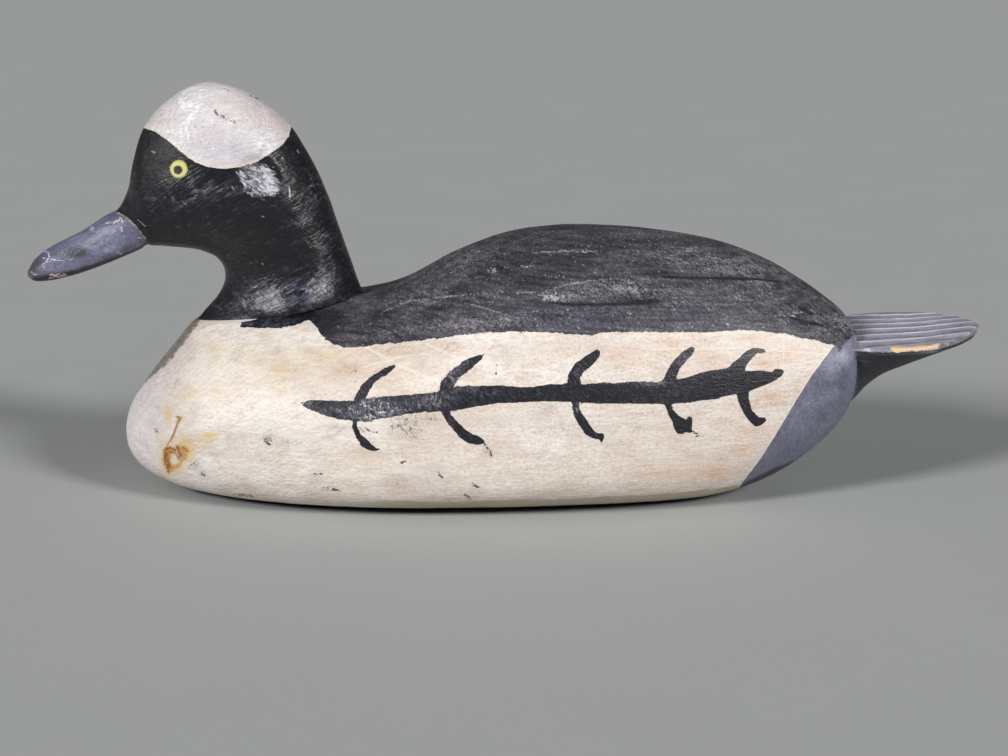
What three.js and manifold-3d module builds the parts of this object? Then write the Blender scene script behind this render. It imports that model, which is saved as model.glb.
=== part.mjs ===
// A carved and painted wooden duck decoy: a solid body block with the tail carved in one with it,
// and a head, neck and bill carved from a second block that stands glued on a sawn seat on the body.
//
// Frame, in millimetres: the origin is on the floor in the middle of the length and width, +Z is up,
// the bill points along -X, the tail along +X, and the duck's left side faces -Y.

import * as THREE from "three";
import { mergeVertices } from "three/addons/utils/BufferGeometryUtils.js";
import Module from "manifold-3d";

const wasm = await Module();
wasm.setup();

// Driving dimensions
const LENGTH = 327; // bill tip to tail tip
const BILL_TIP_X = -LENGTH / 2;
const TAIL_TIP_X = LENGTH / 2;
const GLUE_GAP = 0.3; // between the neck's foot and its seat on the body

// The seat is one sawn plane that climbs from the toe of the neck to its nape.
const SEAT_TOE = { x: -105.8, z: 56.4 };
const SEAT_NAPE = { x: -48.6, z: 66.4 };

// Mesh fineness
const BODY_RING_POINTS = 40;
const HEAD_RING_POINTS = 32;
const RINGS_PER_SPAN = 2;

// Tail blade
const GOUGES = 6; // hollows cut side by side along its top, which leave a ridge between each two
const GOUGE_PITCH = 9.2; // at the root
const GOUGE_TAPER = 0.3; // share by which they draw together at the tip
const GOUGE_DEPTH = 0.8;
const GOUGE_RUNOUT = 5; // the gouge leaves the wood past the tip
const GOUGE_POINTS = 40;
const BLADE_POINTS = 12; // across the top, and again across the underside
const TAIL_EDGE = 2.2; // thickness of the blade at its sides
const TAIL_EDGE_SHARE = 0.55; // of the blade's depth, where it runs out thinner than that
const TAIL_HALF = 28.2; // half its width where it is widest
const TAIL_CAMBER = 0.8; // the sides of the top lie this much under its middle
const KEEL_SHARPNESS = 1.7; // 1 is a straight V underside, 2 a round one

// A station is one section across the wood, and each list of stations runs toward the bill. A section
// runs from an upper point down to a lower point in the plane of symmetry, both [x, z], and bulges to
// `half` on either side at `waist`, a share of the way down. `crown` and `keel` are the superellipse
// exponents above and below that level: 2 is a plain ellipse, more is squarer, less is more pointed.
const station = (upper, lower, half, waist, crown, keel) => ({ upper, lower, half, waist, crown, keel });

// The body, from the rump to the breast. Its lower points lie under the floor, where the bottom is
// planed flat, and its upper points over the seat, where it is sawn.
const BODY_STATIONS = [
  station([120.6, 47.2], [120.2, 38.4], 9.0, 0.5, 2.0, 2.0),
  station([120.2, 52.2], [119.0, 31.6], 18.8, 0.42, 2.4, 2.4),
  station([118.8, 56.2], [116.6, 25.4], 24.8, 0.4, 2.6, 2.6),
  station([116.0, 59.6], [112.0, 19.4], 28.0, 0.42, 2.4, 2.8),
  station([110.5, 64.2], [104.8, 13.2], 31.6, 0.48, 2.2, 3.0),
  station([101.5, 70.6], [95.0, 7.0], 35.2, 0.54, 2.1, 3.2),
  station([89.5, 77.4], [83.0, 2.2], 39.6, 0.58, 2.1, 3.4),
  station([74.0, 83.2], [69.0, -0.4], 44.3, 0.6, 2.1, 3.7),
  station([57.0, 86.5], [54.0, -1.0], 48.8, 0.61, 2.1, 3.9),
  station([39.0, 88.3], [37.0, -1.0], 52.7, 0.61, 2.1, 4.0),
  station([19.0, 88.5], [18.0, -1.0], 55.5, 0.61, 2.1, 4.1),
  station([0.0, 85.6], [0.0, -1.0], 57.0, 0.61, 2.1, 4.2),
  station([-17.0, 79.0], [-15.0, -1.0], 57.2, 0.6, 2.1, 4.2),
  station([-35.0, 69.5], [-32.0, -1.0], 56.8, 0.58, 2.1, 4.2),
  station([-46.5, 66.5], [-43.0, -1.0], 56.0, 0.56, 2.05, 4.2),
  station([-60.0, 65.6], [-56.0, -1.0], 54.5, 0.56, 2.0, 4.1),
  station([-76.0, 64.5], [-71.0, -1.0], 51.5, 0.56, 2.0, 3.9),
  station([-91.5, 61.8], [-85.0, -0.8], 47.0, 0.56, 1.85, 3.7),
  station([-105.3, 57.4], [-98.5, -0.2], 41.0, 0.56, 1.75, 3.4),
  station([-113.3, 48.8], [-109.0, 0.8], 34.5, 0.56, 1.8, 3.1),
  station([-120.7, 39.8], [-118.0, 2.8], 27.0, 0.54, 1.9, 2.7),
  station([-126.4, 32.0], [-125.0, 5.8], 19.5, 0.52, 2.0, 2.4),
  station([-129.8, 26.0], [-129.4, 10.0], 12.0, 0.5, 2.0, 2.1),
  station([-131.3, 20.6], [-131.1, 14.8], 4.5, 0.5, 2.0, 2.0),
];

// The head, from the foot of the neck over the crown and down the bill to its tip. The sections fan
// round the throat, so the upper points run up the nape, over the crown and down the forehead.
const HEAD_STATIONS = [
  station([SEAT_NAPE.x, SEAT_NAPE.z], [SEAT_TOE.x, SEAT_TOE.z], 20.3, 0.41, 1.5, 1.25),
  station([-50.4, 71.0], [-103.0, 59.8], 18.4, 0.43, 1.7, 1.4),
  station([-52.8, 78.2], [-98.6, 64.8], 16.4, 0.46, 1.9, 1.7),
  station([-56.2, 88.3], [-96.2, 70.4], 15.6, 0.48, 2.1, 2.0),
  station([-60.7, 101.5], [-96.1, 75.0], 17.0, 0.52, 2.1, 2.0),
  station([-67.2, 115.2], [-98.3, 78.6], 19.6, 0.55, 2.1, 2.0),
  station([-76.0, 127.5], [-102.8, 80.8], 21.6, 0.57, 2.1, 2.0),
  station([-88.5, 135.4], [-108.0, 81.8], 22.2, 0.57, 2.2, 2.0),
  station([-101.0, 138.0], [-113.0, 82.2], 21.2, 0.56, 2.2, 2.0),
  station([-112.4, 132.9], [-117.0, 82.5], 18.8, 0.54, 2.1, 2.0),
  station([-121.5, 123.2], [-119.8, 82.6], 15.8, 0.54, 2.1, 2.1),
  station([-125.6, 111.4], [-121.3, 82.8], 13.2, 0.55, 2.1, 2.2),
  station([-127.6, 102.4], [-122.2, 82.6], 11.7, 0.56, 2.2, 2.3),
  station([-131.2, 95.6], [-123.6, 81.8], 10.9, 0.58, 2.3, 2.5),
  station([-136.8, 92.2], [-129.6, 79.0], 10.0, 0.6, 2.3, 2.6),
  station([-144.3, 87.3], [-138.2, 75.6], 9.4, 0.6, 2.3, 2.6),
  station([-151.5, 83.8], [-146.8, 72.6], 9.5, 0.6, 2.3, 2.6),
  station([-157.6, 80.3], [-154.4, 70.8], 9.4, 0.6, 2.3, 2.5),
  station([-161.2, 77.0], [-160.2, 70.4], 7.8, 0.58, 2.2, 2.3),
  station([-163.0, 74.2], [-162.8, 71.4], 3.8, 0.5, 2.0, 2.0),
];

// The tail blade, as [x, half width, height of the top, depth in the middle]. It ends inside the rump.
const TAIL_STATIONS = [
  [TAIL_TIP_X, 2.6, 55.6, 1.2],
  [162.0, 6.8, 55.6, 2.3],
  [158.5, 13.8, 55.5, 4.3],
  [153.5, 20.6, 55.0, 6.4],
  [148.0, 24.8, 54.4, 8.3],
  [142.0, 27.4, 53.8, 10.6],
  [136.0, TAIL_HALF, 53.5, 13.2],
  [130.0, 27.8, 53.3, 16.0],
  [125.0, 26.8, 53.1, 20.0],
  [121.0, 25.4, 53.0, 25.0],
  [117.0, 23.6, 52.9, 29.0],
  [113.0, 21.4, 52.8, 31.6],
  [108.0, 18.0, 52.6, 32.6],
];

// A smooth curve through rows of up to three numbers, which gives row i at i / (rows - 1).
const through = (rows) =>
  new THREE.CatmullRomCurve3(rows.map(([a, b, c = 0]) => new THREE.Vector3(a, b, c)), false, "centripetal");

// |value| to a superellipse's power, so that cos and sin trace a squarer or more pointed outline.
const power = (value, exponent) => Math.pow(Math.abs(value), 2 / exponent);

// One closed ring of the loft at share t of the way along the stations.
function ringAt(curves, t, count) {
  const upper = curves.upper.getPoint(t);
  const lower = curves.lower.getPoint(t);
  const { x: half, y: waist } = curves.bulge.getPoint(t);
  const { x: crown, y: keel } = curves.shape.getPoint(t);
  const middle = new THREE.Vector3().lerpVectors(upper, lower, waist);
  return Array.from({ length: count }, (_, i) => {
    const angle = (2 * Math.PI * i) / count;
    const up = Math.cos(angle);
    const exponent = up >= 0 ? crown : keel;
    const end = up >= 0 ? upper : lower;
    const point = new THREE.Vector3().lerpVectors(middle, end, power(up, exponent));
    point.y = -Math.sign(Math.sin(angle)) * half * power(Math.sin(angle), exponent);
    return point;
  });
}

// A closed geometry over a list of rings with equal counts, with a pole vertex at either end.
function skin(rings, firstPole, lastPole) {
  const count = rings[0].length;
  const vertices = [firstPole, ...rings.flat(), lastPole];
  const at = (ring, i) => 1 + ring * count + (i % count);
  const last = rings.length - 1;
  const faces = [];
  for (let i = 0; i < count; i++) {
    faces.push(0, at(0, i), at(0, i + 1));
    faces.push(vertices.length - 1, at(last, i + 1), at(last, i));
    for (let ring = 0; ring < last; ring++) {
      faces.push(at(ring, i), at(ring + 1, i), at(ring + 1, i + 1));
      faces.push(at(ring, i), at(ring + 1, i + 1), at(ring, i + 1));
    }
  }
  return new THREE.BufferGeometry().setFromPoints(vertices).setIndex(faces);
}

// The geometry of a row of stations.
function loft(stations, ringPoints, lastPole) {
  const curves = {
    upper: through(stations.map((s) => [s.upper[0], 0, s.upper[1]])),
    lower: through(stations.map((s) => [s.lower[0], 0, s.lower[1]])),
    bulge: through(stations.map((s) => [s.half, s.waist])),
    shape: through(stations.map((s) => [s.crown, s.keel])),
  };
  const spans = (stations.length - 1) * RINGS_PER_SPAN;
  const rings = Array.from({ length: spans + 1 }, (_, i) => ringAt(curves, i / spans, ringPoints));
  const first = new THREE.Vector3().lerpVectors(curves.upper.getPoint(0), curves.lower.getPoint(0), 0.5);
  return skin(rings, first, lastPole);
}

const tailPlan = through(TAIL_STATIONS.map(([x, half, top]) => [x, half, top]));
const tailDepth = through(TAIL_STATIONS.map(([x, , , depth]) => [x, depth]));
const tailSpans = (TAIL_STATIONS.length - 1) * RINGS_PER_SPAN;
const tailRootX = TAIL_STATIONS.at(-1)[0];

// The tail before its gouges: a cambered top, thin sides and a keeled underside.
function tailBlade() {
  const rings = Array.from({ length: tailSpans + 1 }, (_, k) => {
    const { x, y: half, z: top } = tailPlan.getPoint(k / tailSpans);
    const depth = tailDepth.getPoint(k / tailSpans).y;
    const edge = Math.min(TAIL_EDGE, TAIL_EDGE_SHARE * depth);
    const row = (sign, drop) =>
      Array.from({ length: BLADE_POINTS + 1 }, (_, i) => {
        const across = sign * (1 - (2 * i) / BLADE_POINTS);
        const z = top - TAIL_CAMBER * across * across - drop(Math.abs(across));
        return new THREE.Vector3(x, across * half, z);
      });
    const keel = (share) => edge + (depth - edge) * (1 - share ** KEEL_SHARPNESS);
    return [...row(1, () => 0), ...row(-1, keel)];
  });
  const poles = [TAIL_STATIONS[0], TAIL_STATIONS.at(-1)].map(
    ([x, , top, depth]) => new THREE.Vector3(x, 0, top - depth / 2),
  );
  return skin(rings, ...poles);
}

// The wood one gouge takes off the tail, a long round bar that follows the top `offset` off its middle.
function gougeCut(offset) {
  const radius = (GOUGE_PITCH ** 2 / 4 + GOUGE_DEPTH ** 2) / (2 * GOUGE_DEPTH);
  const rings = Array.from({ length: tailSpans + 1 }, (_, k) => {
    const { x, z: top } = tailPlan.getPoint(k / tailSpans);
    const share = (x - tailRootX) / (TAIL_TIP_X - tailRootX);
    const y = offset * (1 - GOUGE_TAPER * share);
    const z = top - TAIL_CAMBER * (y / TAIL_HALF) ** 2 + radius - GOUGE_DEPTH;
    const reach = k === 0 ? x + GOUGE_RUNOUT : x;
    return Array.from({ length: GOUGE_POINTS }, (_, i) => {
      const angle = (2 * Math.PI * i) / GOUGE_POINTS;
      return new THREE.Vector3(reach, y - radius * Math.sin(angle), z + radius * Math.cos(angle));
    });
  });
  const poles = [rings[0], rings.at(-1)].map((ring) =>
    new THREE.Vector3().lerpVectors(ring[0], ring[GOUGE_POINTS / 2], 0.5),
  );
  return skin(rings, ...poles);
}

// A three.js geometry as a solid that can be joined and cut.
function solidOf(geometry) {
  const bare = geometry.clone();
  bare.deleteAttribute("normal");
  bare.deleteAttribute("uv");
  const merged = mergeVertices(bare, 1e-4);
  return new wasm.Manifold(
    new wasm.Mesh({
      numProp: 3,
      vertProperties: merged.attributes.position.array,
      triVerts: new Uint32Array(merged.index.array),
    }),
  );
}

// A solid back as a three.js geometry.
function geometryOf(solid) {
  const mesh = solid.getMesh();
  return new THREE.BufferGeometry()
    .setAttribute("position", new THREE.BufferAttribute(mesh.vertProperties, 3))
    .setIndex(new THREE.BufferAttribute(mesh.triVerts, 1));
}

// The wood planed away under the floor.
function underFloor() {
  const depth = 40;
  return solidOf(new THREE.BoxGeometry(LENGTH, LENGTH, depth).translate(0, 0, -depth / 2));
}

// The wood sawn away over the seat, in front of the nape.
function overSeat() {
  const width = 140;
  const height = 60;
  const reach = 90; // forward of the nape
  const tilt = Math.atan2(SEAT_NAPE.z - SEAT_TOE.z, SEAT_NAPE.x - SEAT_TOE.x);
  const block = new THREE.BoxGeometry(reach, width, height).translate(-reach / 2, 0, height / 2);
  block.rotateY(-tilt).translate(SEAT_NAPE.x, 0, SEAT_NAPE.z - GLUE_GAP);
  return solidOf(block);
}

const breastPole = new THREE.Vector3(-131.6, 0, 18);
let tail = solidOf(tailBlade());
for (let i = 0; i < GOUGES; i++) {
  tail = tail.subtract(solidOf(gougeCut((i - (GOUGES - 1) / 2) * GOUGE_PITCH)));
}
const carvedBody = solidOf(loft(BODY_STATIONS, BODY_RING_POINTS, breastPole))
  .add(tail)
  .subtract(underFloor())
  .subtract(overSeat());

const billPole = new THREE.Vector3(BILL_TIP_X, 0, 72.8);
const carvedHead = loft(HEAD_STATIONS, HEAD_RING_POINTS, billPole);

function piece(name, geometry, color, roughness) {
  const material = new THREE.MeshStandardMaterial({ color, roughness, metalness: 0 });
  const mesh = new THREE.Mesh(geometry, material);
  mesh.geometry.computeVertexNormals();
  mesh.name = name;
  return mesh;
}

const decoy = new THREE.Group();
decoy.add(piece("carved_body", geometryOf(carvedBody), 0xe6dccb, 0.55));
decoy.add(piece("carved_head", carvedHead, 0x1c1d21, 0.4));

export default decoy;
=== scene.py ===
"""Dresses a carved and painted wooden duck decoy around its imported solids.

The body block with its tail, and the head block with its neck and bill, are carved again here as fine
meshes from the same named sizes as the solids, and then painted in hand-brushed zones. Sizes are in
millimetres unless a name says otherwise, and meshes are written in metres. The origin is on the floor in
the middle, +Z is up, the bill points along -X and the duck's left side, the one in view, faces -Y.
"""

import logging
import math
from collections.abc import Callable, Sequence
from dataclasses import dataclass
from enum import Enum
from itertools import product
from typing import ClassVar

import bpy
import numpy as np
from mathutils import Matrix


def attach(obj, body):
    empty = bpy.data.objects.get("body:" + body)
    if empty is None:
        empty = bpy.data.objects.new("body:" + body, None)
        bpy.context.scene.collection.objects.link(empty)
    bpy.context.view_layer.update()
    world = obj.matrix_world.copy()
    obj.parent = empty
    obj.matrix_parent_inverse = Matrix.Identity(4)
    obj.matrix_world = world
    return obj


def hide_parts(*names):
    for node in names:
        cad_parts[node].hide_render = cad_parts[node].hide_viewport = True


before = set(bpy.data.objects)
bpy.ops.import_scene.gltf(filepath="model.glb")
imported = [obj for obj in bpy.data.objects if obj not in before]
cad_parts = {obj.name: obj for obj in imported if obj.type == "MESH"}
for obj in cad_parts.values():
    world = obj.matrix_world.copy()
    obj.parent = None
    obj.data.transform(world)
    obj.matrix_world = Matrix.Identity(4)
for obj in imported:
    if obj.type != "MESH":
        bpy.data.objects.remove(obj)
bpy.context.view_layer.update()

LOG = logging.getLogger("decoy")
MM = 0.001
LENGTH = 327.0
SHARP_ANGLE = math.radians(38)
TINY = 1e-9
FAR = 1e9

Point = tuple[float, float]
Outline = tuple[Point, ...]
Marks = tuple[tuple[Outline, float], ...]
Spots = tuple[tuple[float, float, float, float, float], ...]
Colour = tuple[int, int, int]
Piece = bpy.types.Object
Socket = bpy.types.NodeSocket
Tint = Colour | Socket


@dataclass(frozen=True)
class PhotoView:
    """The camera that stands where the picture was taken from.

    Paint zones are given as outlines in the picture's pixels, and `seen` says where a point of the wood
    shows in it, so that a zone lies on the carved surface itself and holds from every side.
    """

    width: int = 1008
    height: int = 756
    distance: float = 800.0
    elevation: float = math.radians(14)
    look_height: float = 35.5
    mm_per_pixel: float = 0.3474
    sensor: float = 36.0

    def eye(self) -> np.ndarray:
        """Where the camera stands."""
        back = np.array([0.0, -math.cos(self.elevation), math.sin(self.elevation)])
        return np.array([0.0, 0.0, self.look_height]) + self.distance * back

    def seen(self, points: np.ndarray) -> np.ndarray:
        """Where points show in the picture, with the far side of the duck folded onto the near one.

        Args:
            points: rows of x, y, z.

        Returns:
            Rows of picture column and row, in pixels.
        """
        folded = points.copy()
        folded[:, 1] = -np.abs(folded[:, 1])
        rays = folded - self.eye()
        forward = np.array([0.0, math.cos(self.elevation), -math.sin(self.elevation)])
        up = np.array([0.0, math.sin(self.elevation), math.cos(self.elevation)])
        scale = self.distance / self.mm_per_pixel / (rays @ forward)
        return np.stack([self.width / 2 + scale * rays[:, 0], self.height / 2 - scale * (rays @ up)], axis=1)

    def place(self) -> None:
        """Adds the camera to the scene."""
        data = bpy.data.cameras.new("photo_camera")
        data.sensor_width = self.sensor
        data.lens = self.distance / self.mm_per_pixel * self.sensor / self.width
        camera = bpy.data.objects.new("photo_camera", data)
        camera.location = self.eye() * MM
        camera.rotation_euler = (math.pi / 2 - self.elevation, 0.0, 0.0)
        bpy.context.scene.collection.objects.link(camera)
        bpy.context.scene.camera = camera


VIEW = PhotoView()


# Curves and rings


class SmoothRun:
    """A smooth curve through rows of numbers, which gives row i at share i / (rows - 1)."""

    def __init__(self, rows: Sequence[Sequence[float]]) -> None:
        """Keeps the rows, and mirrors one beyond either end.

        Args:
            rows: the numbers that the curve passes through.
        """
        knots = np.array(rows, float)
        first = 2 * knots[0] - knots[1]
        last = 2 * knots[-1] - knots[-2]
        self.knots = np.vstack([first, knots, last])
        self.spans = len(knots) - 1

    def at(self, shares: np.ndarray) -> np.ndarray:
        """Points of the curve, by the centripetal Catmull-Rom rule.

        Args:
            shares: shares of the way along, from 0 to 1.

        Returns:
            One row for each share.
        """
        along = self.spans * np.asarray(shares, float)
        span = np.clip(np.floor(along).astype(int), 0, self.spans - 1)
        part = (along - span)[:, None]
        before, start, end, after = (self.knots[span + k] for k in range(4))
        gaps = [np.linalg.norm(b - a, axis=1) for a, b in ((before, start), (start, end), (end, after))]
        gap_in, gap_on, gap_out = (np.sqrt(np.maximum(gap, TINY))[:, None] for gap in gaps)
        rate_in, rate_on = (start - before) / gap_in, (end - start) / gap_on
        rate_out = (after - end) / gap_out
        leave = (rate_in - (end - before) / (gap_in + gap_on) + rate_on) * gap_on
        arrive = (rate_on - (after - start) / (gap_on + gap_out) + rate_out) * gap_on
        square = 3 * (end - start) - 2 * leave - arrive
        cube = 2 * (start - end) + leave + arrive
        return start + leave * part + square * part**2 + cube * part**3


@dataclass(frozen=True)
class Station:
    """One section across the wood, from an upper to a lower point in the plane of symmetry.

    It bulges to `half` on either side at `waist`, a share of the way down. `crown` and `keel` are the
    superellipse exponents above and below that level.
    """

    upper: Point
    lower: Point
    half: float
    waist: float
    crown: float
    keel: float


# How finely a curve is followed before it is divided evenly
QUARTER_POINTS = 320
POINTS_PER_STATION = 50


def lerp(a: np.ndarray, b: np.ndarray, share: np.ndarray | float) -> np.ndarray:
    """The point a share of the way from a to b."""
    return a + (b - a) * share


def quarter(middle: np.ndarray, end: np.ndarray, half: float, exponent: float, count: int,
            density: Callable[[np.ndarray], np.ndarray]) -> np.ndarray:
    """A quarter of a section, from its end in the plane of symmetry out to its waist.

    Args:
        middle: the point between the two waists.
        end: the upper or lower point.
        half: half the width at the waist.
        exponent: the superellipse's exponent.
        count: number of steps.
        density: how closely the steps lie, for heights above the floor.

    Returns:
        count + 1 points at even steps, on the +Y side.
    """
    share = np.linspace(0.0, 1.0, QUARTER_POINTS)
    angle = math.pi / 2 * share * share * (3 - 2 * share)
    rise = np.abs(np.cos(angle)) ** (2 / exponent)
    points = lerp(middle, end, rise[:, None])
    points[:, 1] = half * np.abs(np.sin(angle)) ** (2 / exponent)
    steps = np.linalg.norm(np.diff(points, axis=0), axis=1)
    steps *= density((points[1:, 2] + points[:-1, 2]) / 2)
    travelled = np.concatenate([[0.0], np.cumsum(steps)])
    stops = np.linspace(0.0, travelled[-1], count + 1)
    return np.stack([np.interp(stops, travelled, points[:, k]) for k in range(3)], axis=1)


@dataclass(frozen=True)
class Loft:
    """A carved form that passes smoothly through a row of stations."""

    stations: tuple[Station, ...]
    last_pole: tuple[float, float, float]
    spacing: float
    crown_steps: int
    keel_steps: int
    density: Callable[[np.ndarray], np.ndarray] = np.ones_like

    def rings(self) -> np.ndarray:
        """Closed rings of points at an even spacing.

        Returns:
            An array of ring, point in the ring, and coordinate.
        """
        upper = SmoothRun([(s.upper[0], 0.0, s.upper[1]) for s in self.stations])
        lower = SmoothRun([(s.lower[0], 0.0, s.lower[1]) for s in self.stations])
        bulge = SmoothRun([(s.half, s.waist) for s in self.stations])
        shape = SmoothRun([(s.crown, s.keel) for s in self.stations])
        dense = np.linspace(0.0, 1.0, POINTS_PER_STATION * len(self.stations))
        halves = bulge.at(dense)
        sides = lerp(upper.at(dense), lower.at(dense), halves[:, 1:])
        sides[:, 1] = halves[:, 0]
        paths = (upper.at(dense), lower.at(dense), sides)
        steps = sum(np.linalg.norm(np.diff(path, axis=0), axis=1) for path in paths)
        travelled = np.concatenate([[0.0], np.cumsum(steps / len(paths))])
        stops = np.linspace(0.0, travelled[-1], round(travelled[-1] / self.spacing) + 1)
        shares = np.interp(stops, travelled, dense)
        rows = zip(upper.at(shares), lower.at(shares), bulge.at(shares), shape.at(shares), strict=True)
        return np.array([self._ring(*row) for row in rows])

    def _ring(self, upper: np.ndarray, lower: np.ndarray, bulge: np.ndarray, shape: np.ndarray) -> np.ndarray:
        """One ring, from the upper point over the near side to the lower one and back over the far side.

        Args:
            upper: the upper point in the plane of symmetry.
            lower: the lower point.
            bulge: half the width, and how far down the waist lies.
            shape: the exponents above and below the waist.

        Returns:
            The ring's points.
        """
        middle = lerp(upper, lower, bulge[1])
        crown = quarter(middle, upper, bulge[0], shape[0], self.crown_steps, self.density)
        keel = quarter(middle, lower, bulge[0], shape[1], self.keel_steps, self.density)
        near = np.vstack([crown, keel[-2::-1]]) * (1, -1, 1)
        far = near[-2:0:-1] * (1, -1, 1)
        return np.vstack([near, far])

    def mesh(self, name: str) -> Piece:
        """The form as an object with a closed mesh."""
        first = (np.array(self.stations[0].upper) + np.array(self.stations[0].lower)) / 2
        return skin(name, self.rings(), (first[0], 0.0, first[1]), self.last_pole)


def skin(name: str, rings: np.ndarray, first_pole: Sequence[float], last_pole: Sequence[float]) -> Piece:
    """A closed mesh over a row of rings, with a pole at either end.

    Args:
        name: the object's name.
        rings: an array of ring, point in the ring, and coordinate.
        first_pole: the point that closes the first ring.
        last_pole: the point that closes the last ring.

    Returns:
        The new object, in metres.
    """
    count, size, _ = rings.shape
    points = np.vstack([[first_pole], rings.reshape(-1, 3), [last_pole]]) * MM
    ring, step = np.meshgrid(np.arange(count - 1), np.arange(size), indexing="ij")
    here = 1 + ring * size + step
    beside = 1 + ring * size + (step + 1) % size
    quads = np.stack([here, here + size, beside + size, beside], axis=-1).reshape(-1, 4).tolist()
    start = np.arange(size)
    after = (start + 1) % size
    last = len(points) - 1
    top = 1 + (count - 1) * size
    fans = np.stack([np.zeros_like(start), 1 + start, 1 + after], axis=-1).tolist()
    fans += np.stack([np.full_like(start, last), top + after, top + start], axis=-1).tolist()
    mesh = bpy.data.meshes.new(name)
    mesh.from_pydata(points.tolist(), [], quads + fans)
    return shown(name, mesh)


def shown(name: str, mesh: bpy.types.Mesh) -> Piece:
    """Links a mesh to the scene.

    Args:
        name: the new object's name.
        mesh: its mesh.

    Returns:
        The new object.
    """
    piece = bpy.data.objects.new(name, mesh)
    bpy.context.scene.collection.objects.link(piece)
    return piece


def block(name: str, low: Sequence[float], high: Sequence[float], tilt: float = 0.0,
          hinge: Sequence[float] = (0.0, 0.0, 0.0)) -> Piece:
    """A plain block that is used to saw or plane the wood.

    Args:
        name: the object's name.
        low: its lowest corner, before it is tilted and moved.
        high: its highest corner, likewise.
        tilt: turn about the Y axis, upwards to the right, in radians.
        hinge: where its own origin goes.

    Returns:
        The new object, in metres.
    """
    corners = np.array(list(product(*zip(low, high, strict=True))))
    cos, sin = math.cos(tilt), math.sin(tilt)
    turn = np.array([[cos, 0, -sin], [0, 1, 0], [sin, 0, cos]])
    corners = (corners @ turn.T + np.array(hinge)) * MM
    sides = [(0, 1, 3, 2), (4, 6, 7, 5), (0, 4, 5, 1), (2, 3, 7, 6), (0, 2, 6, 4), (1, 5, 7, 3)]
    mesh = bpy.data.meshes.new(name)
    mesh.from_pydata(corners.tolist(), [], sides)
    return shown(name, mesh)


class Cut(Enum):
    """How one solid changes another."""

    JOIN = "UNION"
    TAKE = "DIFFERENCE"


def settle(piece: Piece) -> None:
    """Makes what a piece's modifiers give its plain mesh, and removes them.

    Args:
        piece: the piece that is changed.
    """
    graph = bpy.context.evaluated_depsgraph_get()
    graph.update()
    made = bpy.data.meshes.new_from_object(piece.evaluated_get(graph))
    piece.modifiers.clear()
    old = piece.data
    piece.data = made
    bpy.data.meshes.remove(old)


def change(piece: Piece, tool: Piece, cut: Cut) -> None:
    """Joins another solid to a piece, or takes it off.

    Args:
        piece: the solid that stays.
        tool: the other solid, which is used up.
        cut: what is done.
    """
    modifier = piece.modifiers.new("change", "BOOLEAN")
    modifier.operation = cut.value
    modifier.solver = "MANIFOLD"
    modifier.object = tool
    settle(piece)
    bpy.data.objects.remove(tool)


def rows_of(entries: bpy.types.bpy_prop_collection, name: str) -> np.ndarray:
    """Reads three numbers of each entry of a mesh.

    Args:
        entries: the mesh's vertices or normals.
        name: what is read of them.

    Returns:
        One row for each entry.
    """
    flat = np.empty(3 * len(entries), np.float32)
    entries.foreach_get(name, flat)
    return flat.reshape(-1, 3).astype(float)


def vertices_of(piece: Piece) -> np.ndarray:
    """A piece's vertices, in millimetres."""
    return rows_of(piece.data.vertices, "co") / MM


def normals_of(piece: Piece) -> np.ndarray:
    """A piece's vertex normals."""
    return rows_of(piece.data.vertex_normals, "vector")


def move_vertices(piece: Piece, points: np.ndarray) -> None:
    """Puts a piece's vertices at new places, given in millimetres."""
    piece.data.vertices.foreach_set("co", (points * MM).astype(np.float32).ravel())
    piece.data.update()


def write_attributes(piece: Piece, attributes: dict[str, np.ndarray]) -> None:
    """Stores numbers, or rows of three, with a piece's vertices.

    Args:
        piece: the piece.
        attributes: an array with one entry for each vertex, by name.
    """
    for name, values in attributes.items():
        kind, entry = ("FLOAT_VECTOR", "vector") if values.ndim == 2 else ("FLOAT", "value")
        made = piece.data.attributes.new(name, kind, "POINT")
        made.data.foreach_set(entry, values.astype(np.float32).ravel())


# Outlines in the picture


def path_distance(points: np.ndarray, path: Outline, widths: Sequence[float] | None = None) -> np.ndarray:
    """How far points lie from a path.

    Args:
        points: rows of picture column and row.
        path: the path's points.
        widths: half the width of a brush stroke at each point of the path, which is taken off.

    Returns:
        The distance to the nearest part of the path, in pixels.
    """
    nearest = np.full(len(points), FAR)
    reach = np.zeros(len(path)) if widths is None else np.array(widths, float)
    for k in range(len(path) - 1):
        start = np.array(path[k])
        step = np.array(path[k + 1]) - start
        along = np.clip((points - start) @ step / max(step @ step, TINY), 0.0, 1.0)
        gap = np.linalg.norm(points - (start + along[:, None] * step), axis=1)
        nearest = np.minimum(nearest, gap - lerp(reach[k], reach[k + 1], along))
    return nearest


def inside(points: np.ndarray, outline: Outline) -> np.ndarray:
    """Which points lie inside a closed outline.

    Args:
        points: rows of picture column and row.
        outline: the outline's points.

    Returns:
        True for each point inside it.
    """
    hits = np.zeros(len(points), bool)
    for (x0, y0), (x1, y1) in zip(outline, outline[1:] + outline[:1], strict=True):
        if y0 == y1:
            continue
        crosses = (points[:, 1] < y0) != (points[:, 1] < y1)
        hits ^= crosses & (points[:, 0] < x0 + (points[:, 1] - y0) * (x1 - x0) / (y1 - y0))
    return hits


def zone_depth(points: np.ndarray, outline: Outline) -> np.ndarray:
    """How deep points lie inside a closed outline, in millimetres, negative outside it."""
    gap = path_distance(points, outline + outline[:1])
    return np.where(inside(points, outline), gap, -gap) * VIEW.mm_per_pixel


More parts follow.
